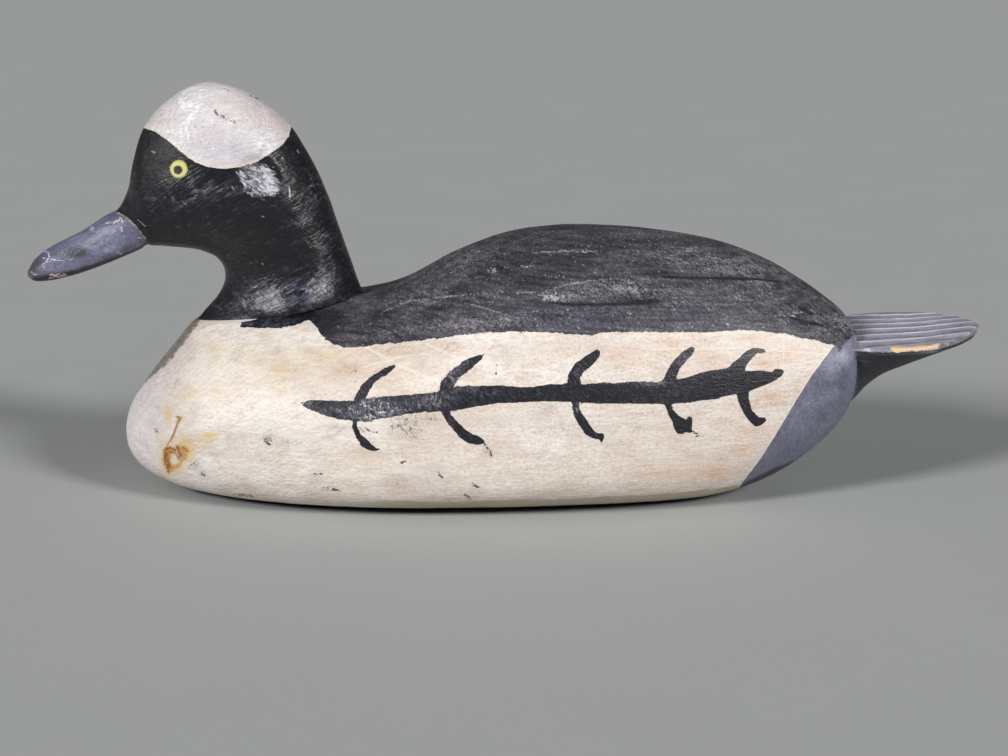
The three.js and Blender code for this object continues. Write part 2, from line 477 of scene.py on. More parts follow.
def soft_spots(points: np.ndarray, spots: Spots) -> np.ndarray:
    """The sum of soft oval spots.

    Args:
        points: rows of picture column and row.
        spots: rows of column, row, half width, half height and strength.

    Returns:
        The strength at each point, at most 1.
    """
    total = np.zeros(len(points))
    for column, row, wide, high, strength in spots:
        reach = ((points[:, 0] - column) / wide) ** 2 + ((points[:, 1] - row) / high) ** 2
        total += strength * np.exp(-reach)
    return np.minimum(total, 1.0)


@dataclass(frozen=True)
class Hollow:
    """A shallow hollow along a path in the picture, or a swelling where its depth is negative."""

    path: Outline
    width: float
    depth: float
    near_only: bool = False


def carve_hollows(piece: Piece, hollows: Sequence[Hollow]) -> None:
    """Presses hollows into a piece along its normals.

    Args:
        piece: the piece, already carved.
        hollows: what is pressed in.
    """
    points = vertices_of(piece)
    normals = normals_of(piece)
    places = VIEW.seen(points)
    depth = np.zeros(len(points))
    for hollow in hollows:
        gap = path_distance(places, hollow.path) * VIEW.mm_per_pixel / hollow.width
        share = np.exp(-0.5 * gap * gap)
        depth += hollow.depth * share * np.where(hollow.near_only & (points[:, 1] > 0), 0.0, 1.0)
    move_vertices(piece, points - normals * depth[:, None])


@dataclass(frozen=True)
class Facet:
    """A flat that a knife left: where it shows in the picture, the way it faces, and its depth and reach."""

    spot: Point
    facing: tuple[float, float, float]
    depth: float
    reach: float


# How many pixels round its spot a facet's middle is looked for, and how steeply the facet ends
FACET_SEARCH = 4.0
FACET_FADE = 4.0


def pare(piece: Piece, facets: Sequence[Facet]) -> None:
    """Pares flats off both sides of a piece.

    Args:
        piece: the piece, already carved.
        facets: the flats, as they show on its near side.
    """
    points = vertices_of(piece)
    sides = np.where(points[:, 1] > 0, 1.0, -1.0)
    places = VIEW.seen(points)
    points[:, 1] = -np.abs(points[:, 1])
    for facet in facets:
        facing = np.array(facet.facing) / np.linalg.norm(facet.facing)
        close = points[np.linalg.norm(places - facet.spot, axis=1) < FACET_SEARCH]
        centre = close[np.argmin(close[:, 1])]
        height = np.maximum((points - centre) @ facing + facet.depth, 0.0)
        gap = np.linalg.norm(points - centre, axis=1)
        share = np.clip(FACET_FADE - FACET_FADE * gap / facet.reach, 0.0, 1.0)
        points -= (height * share)[:, None] * facing
    points[:, 1] *= -sides
    move_vertices(piece, points)


# Node trees


class Num:
    """A number in a node tree. Arithmetic on it adds the tree's Math nodes."""

    def __init__(self, tree: "Tree", socket: Socket) -> None:
        """Wraps one output socket."""
        self.tree = tree
        self.socket = socket

    def _maths(self, operation: str, *others: "Num | float") -> "Num":
        """Adds one Math node on this number and others."""
        return self.tree.maths(operation, self, *others)

    def __add__(self, other: "Num | float") -> "Num":
        """self + other."""
        return self._maths("ADD", other)

    def __sub__(self, other: "Num | float") -> "Num":
        """self - other."""
        return self._maths("SUBTRACT", other)

    def __rsub__(self, other: float) -> "Num":
        """other - self."""
        return self.tree.maths("SUBTRACT", other, self)

    def __mul__(self, other: "Num | float") -> "Num":
        """self * other."""
        return self._maths("MULTIPLY", other)

    def __truediv__(self, other: "Num | float") -> "Num":
        """self / other."""
        return self._maths("DIVIDE", other)

    def __rtruediv__(self, other: float) -> "Num":
        """other / self."""
        return self.tree.maths("DIVIDE", other, self)

    __radd__ = __add__
    __rmul__ = __mul__

    def size(self) -> "Num":
        """Its absolute value."""
        return self._maths("ABSOLUTE")

    def fraction(self) -> "Num":
        """Its fractional part."""
        return self._maths("FRACT")

    def least(self, other: "Num | float") -> "Num":
        """The smaller of it and another."""
        return self._maths("MINIMUM", other)

    def most(self, other: "Num | float") -> "Num":
        """The larger of it and another."""
        return self._maths("MAXIMUM", other)

    def rise(self, low: float, high: float) -> "Num":
        """A smooth rise between two levels.

        Args:
            low: where it is 0.
            high: where it is 1, which may lie below the other.

        Returns:
            A number from 0 to 1.
        """
        settings = {"interpolation_type": "SMOOTHSTEP"}
        values = {"Value": self, "From Min": low, "From Max": high}
        if low > high:
            values = {"Value": self, "From Min": high, "From Max": low, "To Min": 1.0, "To Max": 0.0}
        return self.tree.num("ShaderNodeMapRange", settings, values)


class Tree:
    """A node tree to which every node is added by one method."""

    def __init__(self, tree: bpy.types.NodeTree) -> None:
        """Starts with a node tree's own nodes removed."""
        self.tree = tree
        tree.nodes.clear()

    def node(self, kind: str, settings: dict | None = None, values: dict | None = None) -> bpy.types.Node:
        """Adds one node.

        Args:
            kind: the node's type.
            settings: its own settings, which are set first.
            values: a number, colour, socket or Num for each input, by name or place.

        Returns:
            The new node.
        """
        made = self.tree.nodes.new(kind)
        for name, setting in (settings or {}).items():
            setattr(made, name, setting)
        for place, value in (values or {}).items():
            source = value.socket if isinstance(value, Num) else value
            if isinstance(source, Socket):
                self.tree.links.new(source, made.inputs[place])
            else:
                made.inputs[place].default_value = source
        return made

    def num(self, kind: str, settings: dict | None = None, values: dict | None = None,
            output: int | str = 0) -> Num:
        """Adds one node and gives one of its outputs as a number."""
        return Num(self, self.node(kind, settings, values).outputs[output])

    def maths(self, operation: str, *terms: Num | float) -> Num:
        """Adds one Math node."""
        return self.num("ShaderNodeMath", {"operation": operation}, dict(enumerate(terms)))

    def vector(self, operation: str, values: dict) -> bpy.types.Node:
        """Adds one Vector Math node."""
        return self.node("ShaderNodeVectorMath", {"operation": operation}, values)

    def scaled(self, vector: Socket | tuple[float, float, float], factor: Num) -> Socket:
        """A vector, or a colour, times a factor."""
        return self.vector("SCALE", {0: vector, "Scale": factor}).outputs["Vector"]

    def distance(self, first: Socket, second: Socket | tuple[float, float, float]) -> Num:
        """How far two points lie apart."""
        return Num(self, self.vector("DISTANCE", {0: first, 1: second}).outputs["Value"])

    def parts(self, vector: Socket) -> tuple[Num, Num, Num]:
        """The X, Y and Z of a vector."""
        made = self.node("ShaderNodeSeparateXYZ", None, {0: vector})
        return tuple(Num(self, part) for part in made.outputs)


class SurfaceTree(Tree):
    """A Geometry Nodes tree that takes a mesh and named sizes, and gives the changed mesh."""

    def __init__(self, name: str, sizes: Sequence[str]) -> None:
        """Adds the tree's inputs and outputs.

        Args:
            name: the tree's name.
            sizes: the names of its number inputs.
        """
        super().__init__(bpy.data.node_groups.new(name, "GeometryNodeTree"))
        self.sockets: dict[str, str] = {}
        face = self.tree.interface
        face.new_socket("Wood", in_out="INPUT", socket_type="NodeSocketGeometry")
        face.new_socket("Wood", in_out="OUTPUT", socket_type="NodeSocketGeometry")
        for size in sizes:
            made = face.new_socket(size, in_out="INPUT", socket_type="NodeSocketFloat")
            self.sockets[size] = made.identifier
        made = face.new_socket("Finish", in_out="INPUT", socket_type="NodeSocketMaterial")
        self.sockets["Finish"] = made.identifier
        self.inputs = self.node("NodeGroupInput")

    def size(self, name: str) -> Num:
        """One of the tree's number inputs."""
        return Num(self, self.inputs.outputs[name])

    def close(self, offset: Socket) -> None:
        """Moves the surface and ends the tree.

        Args:
            offset: how far each point moves.
        """
        values = {"Geometry": self.inputs.outputs["Wood"], "Offset": offset}
        moved = self.node("GeometryNodeSetPosition", None, values)
        real = self.node("GeometryNodeRealizeInstances", None, {"Geometry": moved.outputs[0]})
        values = {"Geometry": real.outputs[0], "Material": self.inputs.outputs["Finish"]}
        painted = self.node("GeometryNodeSetMaterial", None, values)
        self.node("NodeGroupOutput", None, {0: painted.outputs[0]})

    def run(self, piece: Piece, **values: object) -> None:
        """Runs the tree on a piece and keeps the plain mesh it gives.

        Args:
            piece: the piece that is changed.
            values: a value for each of the tree's inputs.
        """
        modifier = piece.modifiers.new(self.tree.name, "NODES")
        modifier.node_group = self.tree
        for name, value in values.items():
            modifier[self.sockets[name]] = value
        settle(piece)


# The finer of the two patterns of tool marks, against the wider one
FINE_SEED = 7.0
FINE_SCALE = 3.2
FINE_SHARE = 0.3


def relief_tree() -> SurfaceTree:
    """The tree that gives wood the slight unevenness a knife and rasp leave, above the planed bottom.

    Returns:
        The tree, to be run on a piece.
    """
    tree = SurfaceTree("tool_marks", ("Depth", "Size", "Seed", "Floor"))
    place = tree.node("GeometryNodeInputPosition").outputs[0]
    scale = 1.0 / tree.size("Size")
    wide = tree.num("ShaderNodeTexNoise", {"noise_dimensions": "4D"},
                    {"Vector": place, "W": tree.size("Seed"), "Scale": scale, "Detail": 1.0,
                     "Roughness": 0.45})
    fine = tree.num("ShaderNodeTexNoise", {"noise_dimensions": "4D"},
                    {"Vector": place, "W": tree.size("Seed") + FINE_SEED, "Scale": scale * FINE_SCALE,
                     "Detail": 1.0})
    _, _, height = tree.parts(place)
    clear = (height / tree.size("Floor")).rise(0.15, 1.0)
    depth = (wide - 0.5 + (fine - 0.5) * FINE_SHARE) * tree.size("Depth") * clear * 2.0
    normal = tree.node("GeometryNodeInputNormal").outputs[0]
    tree.close(tree.scaled(normal, depth))
    return tree


# Where the gouged hollows start to run out, as a share of the tail, and the depth that is left at its tip
GOUGE_FADE = 0.72
GOUGE_END = 0.28


def gouge_tree() -> SurfaceTree:
    """The tree that cuts hollows side by side along a tail, which draw together and run out at its tip.

    Returns:
        The tree, to be run on a blade that carries which of its points lie on top.
    """
    tree = SurfaceTree("tail_gouges", ("Count", "Pitch", "Depth", "Taper", "Root", "Tip"))
    place = tree.node("GeometryNodeInputPosition").outputs[0]
    x, y, _ = tree.parts(place)
    along = (x - tree.size("Root")) / (tree.size("Tip") - tree.size("Root"))
    across = y / (1.0 - tree.size("Taper") * along) / tree.size("Pitch")
    step = across + tree.size("Count") / 2.0
    centred = step.fraction() * 2.0 - 1.0
    hollow = 1.0 - centred * centred
    within = (tree.size("Count") / 2.0 - across.size()).rise(-0.02, 0.02)
    top = Num(tree, tree.node("GeometryNodeInputNamedAttribute", None, {"Name": "top"}).outputs[0])
    fade = along.rise(1.0, GOUGE_FADE) * (1.0 - GOUGE_END) + GOUGE_END
    drop = hollow * within * top * fade * tree.size("Depth") * -1.0
    tree.close(tree.node("ShaderNodeCombineXYZ", None, {"Z": drop}).outputs[0])
    return tree


def linear(colour: Colour) -> tuple[float, float, float, float]:
    """A colour of the picture, from 0 to 255, as Blender's own linear colour."""
    shares = [part / 255 for part in colour]
    return (*(s / 12.92 if s <= 0.04045 else ((s + 0.055) / 1.055) ** 2.4 for s in shares), 1.0)


# How a seed moves a noise along each axis, what brings a noise to -1 to 1, and the full part of a drawn line
SEED_SHIFT = (1.0, 0.37, -0.61)
NOISE_GAIN = 3.4
INNER_SHARE = 0.3


class Paint(Tree):
    """A painted finish in the making: a material's tree, with the marks that paints share."""

    def __init__(self, name: str) -> None:
        """Starts an empty material.

        Args:
            name: the material's name.
        """
        self.material = bpy.data.materials.new(name)
        self.material.use_nodes = True
        super().__init__(self.material.node_tree)
        self.place = self.node("ShaderNodeTexCoord").outputs["Object"]
        seen = self.node("ShaderNodeAttribute", {"attribute_name": "seen"}).outputs["Vector"]
        self.column, self.row, self.near = self.parts(seen)
        self.flat = self.node("ShaderNodeCombineXYZ", None, {"X": self.column, "Y": self.row}).outputs[0]

    def zone(self, name: str) -> Num:
        """A number that the piece's mesh carries."""
        return self.num("ShaderNodeAttribute", {"attribute_name": name}, None, "Fac")

    def level(self) -> Num:
        """The height above the floor, in millimetres."""
        return self.parts(self.place)[2] / MM

    def noise(self, size: float, stretch: tuple[float, float, float] = (1, 1, 1), turn: float = 0.0,
              seed: float = 0.0, detail: float = 2.0, roughness: float = 0.55, bend: float = 0.0) -> Num:
        """Soft noise around 0 that rarely leaves -1 to 1.

        Args:
            size: how far apart its patches lie, in millimetres.
            stretch: how much longer they are along each axis, before the turn.
            turn: turn of the stretch about Y, in degrees, upwards to the right.
            seed: shifts the pattern.
            detail: how many finer levels it has.
            roughness: how strong those are.
            bend: how much the pattern wanders.

        Returns:
            The noise.
        """
        values = {"Vector": self.place, "Rotation": (0.0, math.radians(turn), 0.0)}
        turned = self.node("ShaderNodeMapping", {"vector_type": "POINT"}, values).outputs[0]
        values = {"Vector": turned, "Location": [seed * part for part in SEED_SHIFT],
                  "Scale": [1 / part for part in stretch]}
        placed = self.node("ShaderNodeMapping", {"vector_type": "POINT"}, values).outputs[0]
        values = {"Vector": placed, "Scale": 1 / (size * MM), "Detail": detail, "Roughness": roughness,
                  "Distortion": bend}
        return (self.num("ShaderNodeTexNoise", None, values) - 0.5) * NOISE_GAIN

    def threads(self, size: float, width: float, stretch: tuple[float, float, float] = (1, 1, 1),
                turn: float = 0.0, seed: float = 0.0, bend: float = 0.0) -> Num:
        """Thin wandering lines, like crazing or the marks of single bristles.

        Args:
            size: how far apart they lie, in millimetres.
            width: their width, as a share of that.
            stretch: how much longer they are along each axis, before the turn.
            turn: turn of the stretch about Y, in degrees.
            seed: shifts the pattern.
            bend: how much they wander.

        Returns:
            1 on a line and 0 off it.
        """
        return self.noise(size, stretch, turn, seed, 1.0, bend=bend).size().rise(width, width * INNER_SHARE)

    def mix(self, share: Num | float, under: Tint, over: Tint) -> Socket:
        """Lays one colour over another.

        Args:
            share: how much of the upper one covers, which the node keeps from 0 to 1.
            under: the lower colour.
            over: the upper colour.

        Returns:
            The mixed colour.
        """
        tints = [linear(tint) if isinstance(tint, tuple) else tint for tint in (under, over)]
        values = {0: share, 6: tints[0], 7: tints[1]}
        return self.node("ShaderNodeMix", {"data_type": "RGBA"}, values).outputs[2]

    def shade(self, tint: Tint, share: Num) -> Socket:
        """A colour made darker or lighter by a factor."""
        return self.scaled(self.mix(0.0, tint, tint) if isinstance(tint, tuple) else tint, share)

    def blend(self, share: Num, under: Num | float, over: Num | float) -> Num:
        """One number over another."""
        return under + (over - under) * share

    def away(self, spot: Point) -> Num:
        """How far a point shows from a spot of the picture, in pixels."""
        return self.distance(self.flat, (*spot, 0.0))

    def stroke(self, start: Point, end: Point) -> Num:
        """How far a point shows from a straight stroke of the picture.

        Args:
            start: the stroke's start.
            end: its end.

        Returns:
            The distance, in pixels.
        """
        wide, high = end[0] - start[0], end[1] - start[1]
        span = wide * wide + high * high
        beside = self.vector("SUBTRACT", {0: self.flat, 1: (*start, 0.0)}).outputs["Vector"]
        share = self.vector("DOT_PRODUCT", {0: beside, 1: (wide / span, high / span, 0.0)}).outputs["Value"]
        along = self.num("ShaderNodeClamp", None, {"Value": share})
        return self.distance(beside, self.scaled((wide, high, 0.0), along))

    def drawn(self, marks: Marks, wobble: Num) -> Num:
        """Marks drawn on the near side.

        Args:
            marks: the points that each runs through in the picture, and half its width in pixels.
            wobble: how much they stray, as a share of their width.

        Returns:
            1 on a mark and 0 off it.
        """
        total = None
        for path, width in marks:
            gap = None
            for start, end in zip(path, path[1:], strict=False):
                reach = self.stroke(start, end)
                gap = reach if gap is None else gap.least(reach)
            mark = (gap + wobble * width).rise(width, width * INNER_SHARE)
            total = mark if total is None else total.most(mark)
        return total * self.near

    def close(self, tint: Socket, roughness: Num, height: Num, specular: float) -> bpy.types.Material:
        """Ends the tree in its shader.

        Args:
            tint: the base colour.
            roughness: the roughness.
            height: relief too fine for the mesh, in millimetres.
            specular: the shader's specular level.

        Returns:
            The finished material.
        """
        bump = self.node("ShaderNodeBump", None, {"Strength": 1.0, "Distance": MM, "Height": height})
        values = {"Base Color": tint, "Roughness": roughness, "Normal": bump.outputs[0],
                  "Specular IOR Level": specular}
        shader = self.node("ShaderNodeBsdfPrincipled", None, values)
        self.node("ShaderNodeOutputMaterial", None, {"Surface": shader.outputs[0]})
        return self.material


# Where the paint lies, as columns and rows of the picture

BLACK_BACK: Outline = (
    (199, 318), (206, 320), (213, 318), (225, 317), (235, 318), (243, 319.5), (240, 326), (247, 328),
    (262, 328), (278, 328), (285, 327.5), (293, 326), (300, 324), (305, 321.5), (308, 320), (315, 325),
    (320, 333), (326, 340), (335, 345), (345, 347), (356, 347.5), (365, 347), (375, 344.5), (396, 343),
    (425, 340), (454, 336), (483, 333), (511, 331.5), (540, 332), (569, 334), (592, 335), (607, 332),
    (651, 332), (678, 332), (705, 332.5), (741, 330), (759, 331), (785, 334), (812, 340), (837, 346),
    (839, 353), (843, 345), (849, 339), (855, 334), (859, 326), (872, 300), (872, 90), (100, 90),
    (150, 250), (190, 312),
)
STERN: Outline = (
    (837, 345), (833, 347), (812, 375), (794, 404), (776, 434), (759, 461), (739, 487), (720, 520),
    (1000, 520), (1000, 300), (850, 300),
)
# Painted shadow along the bottom edge of the stern, where it rises off the floor
STERN_FOOT_SHADOW: Outline = (
    (736, 490), (748, 480.5), (762, 474), (778, 466.5), (792, 461.5), (804, 462), (840, 520), (738, 520),
)
TAIL_SIDE: Outline = (
    (858, 322), (855, 336), (855, 345), (857, 370), (856, 392), (846, 408), (830, 430), (1000, 440),
    (1000, 280), (861, 300),
)
BREAST_WEAR: Outline = (
    (197, 316), (200, 322), (188, 338), (176, 353), (166, 365), (145, 382.6), (128, 402), (90, 402),
    (90, 300), (180, 300),
)
TAIL_CHIP: Outline = (
    (889, 348), (893, 346), (910, 347), (922, 345.5), (935, 344), (941, 343), (938, 348), (929, 350.5),
    (918, 352.5), (905, 353.5), (895, 354),
)
CROWN_PATCH: Outline = (
    (144, 128), (155.5, 132), (167, 140), (181, 152), (194.5, 162), (208, 167), (224, 169), (240, 167),
    (256.5, 162), (270, 154), (282, 145), (289, 136), (291, 128), (310, 60), (120, 60),
)
# Painted highlight: a pale patch on the cheek behind the eye, for the lamp's reflection on a knife cut
HIGHLIGHT_PATCH_OUTLINE: Outline = (
    (238, 172), (247, 167), (262, 162), (272, 168), (277, 178), (280, 192), (270, 197), (258, 199),
    (247, 194), (240, 184),
)
BILL_PATCH: Outline = (
    (110, 206), (117, 212), (124, 216), (132, 223), (139, 231), (145, 239), (148, 244), (150, 300),
    (0, 300), (0, 190),
)
# Where painted shade lies under the bill
BILL_UNDERSIDE: Outline = (
    (150, 243), (129.5, 252), (110, 260), (90, 266), (73, 272), (50, 273), (30, 277), (20, 300), (150, 300),
)

# Strokes of the branch: their points, and half the brush's width at each
BRANCH_STEM: Outline = (
    (300.5, 402.4), (312, 399.6), (326, 400.6), (350, 401), (364, 399.6), (373, 397.2), (387, 396.2),
    (410.5, 394.6), (435, 392.2), (453, 389.4), (455.5, 385.6), (485, 386), (497, 385.2), (519, 387),
    (533, 386.8), (548, 384.4), (567, 384), (581, 384.3), (610.5, 382.8), (643, 381.3), (663, 381.3),
    (676, 379.7), (687, 377.4), (702, 372.1), (713, 370.1), (727, 368), (745, 371), (760.5, 370.6),
    (772.8, 372.1), (774.5, 368.5), (780.4, 368.8), (784.4, 371), (781.4, 376.7), (775.8, 379.5),
    (770.5, 382.8), (759, 387.4), (749, 391.7), (736, 394.3), (722, 396.6), (718, 399.2), (698, 400.6),
    (690, 402.6), (673, 403.8), (646, 403.8), (597, 403.5), (583, 402.7), (569, 402), (560, 401.4),
    (538, 401.5), (514, 402.7), (497, 403.2), (476, 406.6), (455, 410.6), (433, 411.8), (417, 412.7),
    (404, 414.6), (386, 417.8), (369, 421.3), (359, 421.8), (342, 419.5), (330, 417), (317.5, 412.7),
    (305.5, 407.4),
)
BRANCH_BARBS: tuple[tuple[Outline, tuple[float, ...]], ...] = (
    (((358, 401), (366, 387), (374.5, 378), (384.5, 372), (390, 368.6), (396, 365.8)),
     (5.0, 4.6, 3.6, 3.6, 2.8, 0.8)),
    (((446, 392), (446, 386), (452, 377.4), (463, 368), (471, 362.5), (478, 358.4), (484.5, 354.8)),
     (7.0, 6.6, 5.8, 5.6, 4.8, 3.0, 0.8)),
    (((573.5, 387), (574, 377), (579.5, 367.5), (588.5, 361), (595, 355.5), (597, 352.6)),
     (7.0, 6.4, 6.0, 5.6, 4.6, 3.4)),
    (((668.5, 386), (669.5, 380), (672.5, 372.5), (677, 364.5), (682.5, 358), (689, 352), (693, 348.6)),
     (6.4, 6.2, 5.4, 4.8, 4.4, 4.2, 2.0)),
    (((734, 376), (738, 367.5), (743.5, 360.5), (748, 355.5), (753.5, 351.8), (759, 350.3), (763.5, 351)),
     (9.0, 7.4, 4.8, 4.6, 3.8, 2.2, 2.2)),
    (((354.6, 419), (355.2, 428), (359, 437), (364, 442.5), (369.5, 447), (375.5, 449.8), (380, 449.2)),
     (1.4, 2.8, 3.0, 4.3, 3.4, 1.8, 0.4)),
    (((444.5, 410), (449, 418), (456.5, 427), (464, 434.5), (471, 439), (478, 440.5), (482, 442)),
     (3.4, 4.2, 4.4, 5.0, 4.8, 4.2, 2.6)),
    (((574.5, 401), (577, 413), (583, 422.5), (588.5, 431), (595, 436), (601, 436), (602, 442)),
     (2.8, 3.8, 4.6, 4.6, 3.0, 3.4, 1.2)),
    (((666, 401), (670.5, 411), (675, 418)), (2.6, 3.2, 4.4)), (((679, 423), (680.5, 428.5)), (6.4, 5.8)),
    (((689.5, 419.5), (687, 428)), (3.0, 5.0)), (((689, 430), (700.5, 435)), (2.0, 0.3)),
    (((742, 389), (743.5, 400), (747, 410), (752, 417.5), (757, 422), (763.5, 420.3)),
     (6.4, 5.4, 4.6, 4.4, 4.6, 3.0)),
)

# Soft marks: column, row, half width, half height and strength
WARM_SPOTS: Spots = (
    (212, 345, 12, 10, 0.4), (266, 336, 9, 5, 0.6), (277, 369, 9, 5, 0.65), (307, 350, 9, 5, 0.7),
    (278, 390, 10, 10, 0.3), (325, 357, 12, 6, 0.5), (347, 368, 14, 6, 0.55), (192, 390, 14, 9, 0.35),
    (226, 395, 40, 14, 0.2), (168, 412, 6, 10, 0.5), (253, 352, 30, 8, 0.22), (690, 352, 30, 8, 0.25),
    (235, 368, 44, 16, 0.25), (300, 365, 40, 12, 0.3), (385, 372, 26, 10, 0.35), (360, 352, 40, 8, 0.3),
    (420, 350, 40, 6, 0.25), (355, 455, 10, 6, 0.35), (482, 465, 6, 6, 0.35), (215, 360, 6, 5, 0.35),
)
PEACH_SPOTS: Spots = (
    (764, 360, 16, 11, 0.75), (768, 379, 14, 8, 0.7), (771, 397, 11, 7, 0.75), (738, 449, 16, 8, 0.7),
    (716, 472, 18, 6, 0.8), (790, 352, 10, 14, 0.4), (814, 352, 16, 9, 0.35), (752, 405, 26, 8, 0.4),
    (795, 392, 10, 9, 0.4), (735, 430, 34, 7, 0.4), (680, 474, 40, 5, 0.5), (660, 345, 50, 9, 0.3),
    (673, 342, 9, 6, 0.5), (444, 345, 14, 4, 0.6), (377, 348, 10, 4, 0.5), (345, 372, 14, 6, 0.4),
    (420, 372, 24, 8, 0.25), (745, 338, 30, 5, 0.5), (715, 362, 12, 8, 0.4), (620, 360, 40, 8, 0.2),
    (700, 455, 40, 10, 0.25), (610, 470, 60, 8, 0.15), (525, 352, 50, 12, 0.3), (640, 356, 50, 12, 0.2),
    (400, 352, 40, 8, 0.3), (395, 380, 26, 10, 0.25), (690, 352, 30, 8, 0.3),
)
GRIME_SPOTS: Spots = (
    (268, 441, 5, 4, 0.9), (288, 443, 10, 3, 0.5), (262, 460, 6, 3, 0.4), (345, 428, 26, 3, 0.45),
    (366, 430, 5, 3, 0.8), (401, 424, 13, 11, 1.0), (413, 433, 6, 7, 0.7), (425, 418, 18, 6, 0.6),
    (340, 372, 14, 7, 0.25), (158, 431, 3, 4, 0.5), (196, 464, 4, 4, 0.5), (203, 474, 4, 4, 0.5),
    (396, 482, 14, 7, 0.3), (318, 474, 6, 5, 0.35), (240, 486, 30, 4, 0.35), (420, 480, 26, 8, 0.3),
    (437, 470, 14, 6, 0.3), (488, 452, 5, 6, 0.6), (505, 420, 60, 5, 0.14), (460, 437, 20, 4, 0.3),
    (475, 490, 8, 6, 0.4), (250, 440, 34, 18, 0.25), (170, 490, 30, 6, 0.3), (155, 420, 8, 20, 0.2),
    (205, 360, 10, 20, 0.15), (505, 352, 5, 7, 0.4), (690, 460, 60, 14, 0.12), (365, 452, 14, 5, 0.2),
    (610, 440, 20, 6, 0.15),
)
STAIN_SPOTS: Spots = (
    (395, 351, 30, 6, 0.8), (352, 369, 16, 6, 0.8), (424, 365, 22, 7, 0.7), (450, 347, 13, 8, 0.9),
    (505, 360, 18, 8, 0.5), (380, 384, 18, 6, 0.35), (326, 378, 14, 6, 0.4), (258, 362, 12, 6, 0.5),
    (290, 372, 18, 8, 0.5), (545, 345, 30, 6, 0.4), (620, 350, 24, 8, 0.3), (470, 378, 12, 4, 0.4),
    (276, 352, 14, 8, 0.4), (690, 440, 40, 12, 0.25), (310, 392, 10, 6, 0.3),
)
RUST_HALO_SPOTS: Spots = (
    (184, 443, 8, 7, 0.8), (188, 454, 7, 9, 0.9), (168.5, 415, 4, 9, 0.8), (182, 418, 5, 7, 0.5),
    (208, 438, 9, 5, 0.6), (210, 434.5, 7, 3, 0.9), (167, 455, 8, 15, 1.0), (175, 470, 10, 6, 0.8),
    (185, 396, 16, 7, 0.3), (195, 446, 14, 8, 0.25),
)
# Rubbed grey on the back, and painted sheen on its top and along its carved ridges
RUBBED_AND_SHEEN_SPOTS: Spots = (
    (590, 290, 40, 8, 0.6), (560, 296, 12, 7, 0.5), (625, 285, 34, 7, 0.5), (430, 303, 40, 3, 0.5),
    (490, 296, 36, 3, 0.5), (385, 332, 34, 10, 0.35), (700, 258, 50, 12, 0.5), (505, 320, 60, 10, 0.35),
    (752, 268, 44, 12, 0.7), (745, 300, 90, 16, 0.35), (690, 322, 80, 8, 0.3), (832, 316, 20, 14, 0.45),
    (610, 236, 90, 7, 0.6), (420, 280, 40, 10, 0.3), (350, 300, 24, 6, 0.5), (450, 325, 60, 10, 0.4),
    (850, 324, 10, 10, 0.7), (450, 255, 40, 10, 0.3), (565, 275, 20, 2.5, 0.5), (560, 320, 30, 8, 0.35),
)
BLUE_SPOTS: Spots = (
    (590, 320, 46, 12, 0.8), (690, 318, 40, 9, 0.6), (530, 322, 30, 8, 0.4), (395, 335, 40, 8, 0.3),
    (800, 325, 30, 8, 0.35), (280, 323, 30, 5, 0.5),
)
DARK_STREAK_SPOTS: Spots = (
    (600, 303.5, 40, 1.8, 1.0), (640, 302, 20, 2.6, 1.0), (708, 278.5, 46, 1.8, 0.9),
    (526, 284, 24, 5, 0.6), (500, 272, 40, 5, 0.3), (640, 240, 80, 6, 0.5), (806, 324, 18, 2, 0.9),
    (806, 312, 18, 5, 0.55), (385, 315, 12, 9, 0.5), (365, 330, 12, 3, 0.5), (560, 262, 50, 8, 0.35),
    (545, 306, 14, 3, 0.6), (330, 325, 16, 12, 0.5), (560, 232, 60, 8, 0.3), (665, 285, 14, 3, 0.4),
    (850, 338, 4, 4, 0.8),
)
DRY_SPOTS: Spots = (
    (330, 412, 30, 9, 0.4), (362, 413, 16, 7, 0.8), (372, 404, 22, 8, 0.5), (378, 376, 22, 14, 0.4),
    (456, 374, 18, 16, 0.85), (384, 411, 22, 11, 0.95), (430, 402, 30, 12, 0.5), (490, 394, 46, 10, 0.3),
    (580, 374, 12, 10, 0.5), (682, 362, 14, 12, 0.45), (365, 424, 6, 5, 0.5), (577, 410, 5, 9, 0.6),
    (610, 382, 50, 2.6, 0.7), (655, 384, 12, 3, 0.8), (450, 424, 6, 7, 0.4), (757, 352, 8, 4, 0.5),
    (672, 392, 12, 8, 0.3), (306, 402, 6, 5, 0.7),
)
STERN_LIGHT_SPOTS: Spots = (
    (846, 352, 12, 14, 1.0), (838, 372, 14, 16, 0.6), (818, 395, 20, 20, 0.35), (795, 425, 14, 16, 0.25),
    (772, 452, 8, 8, 0.3),
)
# Scuffs on the back, and painted glints and highlight streaks on its gloss
SCUFF_AND_GLINT_SPOTS: Spots = (
    (554, 297, 9, 4.5, 1.0), (547, 299, 5, 2.5, 0.7), (493, 270, 6, 3, 0.85), (526, 267, 8, 2, 0.8),
    (580, 250.5, 22, 1.6, 0.75), (566, 254, 18, 1.2, 0.55), (562, 276, 14, 1.3, 0.6),
    (694, 325, 3, 2.2, 0.9), (713, 325, 3, 2.2, 0.9), (728, 323, 3, 2, 0.8), (762, 327, 4, 1.4, 1.0),
    (737, 296, 5, 2, 0.8), (763, 295, 4, 4, 0.7), (747, 308, 7, 3, 0.5), (440, 322, 5, 4, 0.5),
    (634, 287, 2, 1.6, 1.0), (690, 251, 2.4, 1.2, 1.0), (847, 322, 10, 11, 0.5), (852, 314, 4, 8, 0.5),
    (458, 250, 44, 3, 0.4), (420, 272, 34, 3, 0.4), (500, 295, 22, 1.2, 0.5), (440, 301, 22, 1.2, 0.5),
    (790, 316, 14, 1.4, 0.5), (365, 311, 3, 10, 0.3),
)

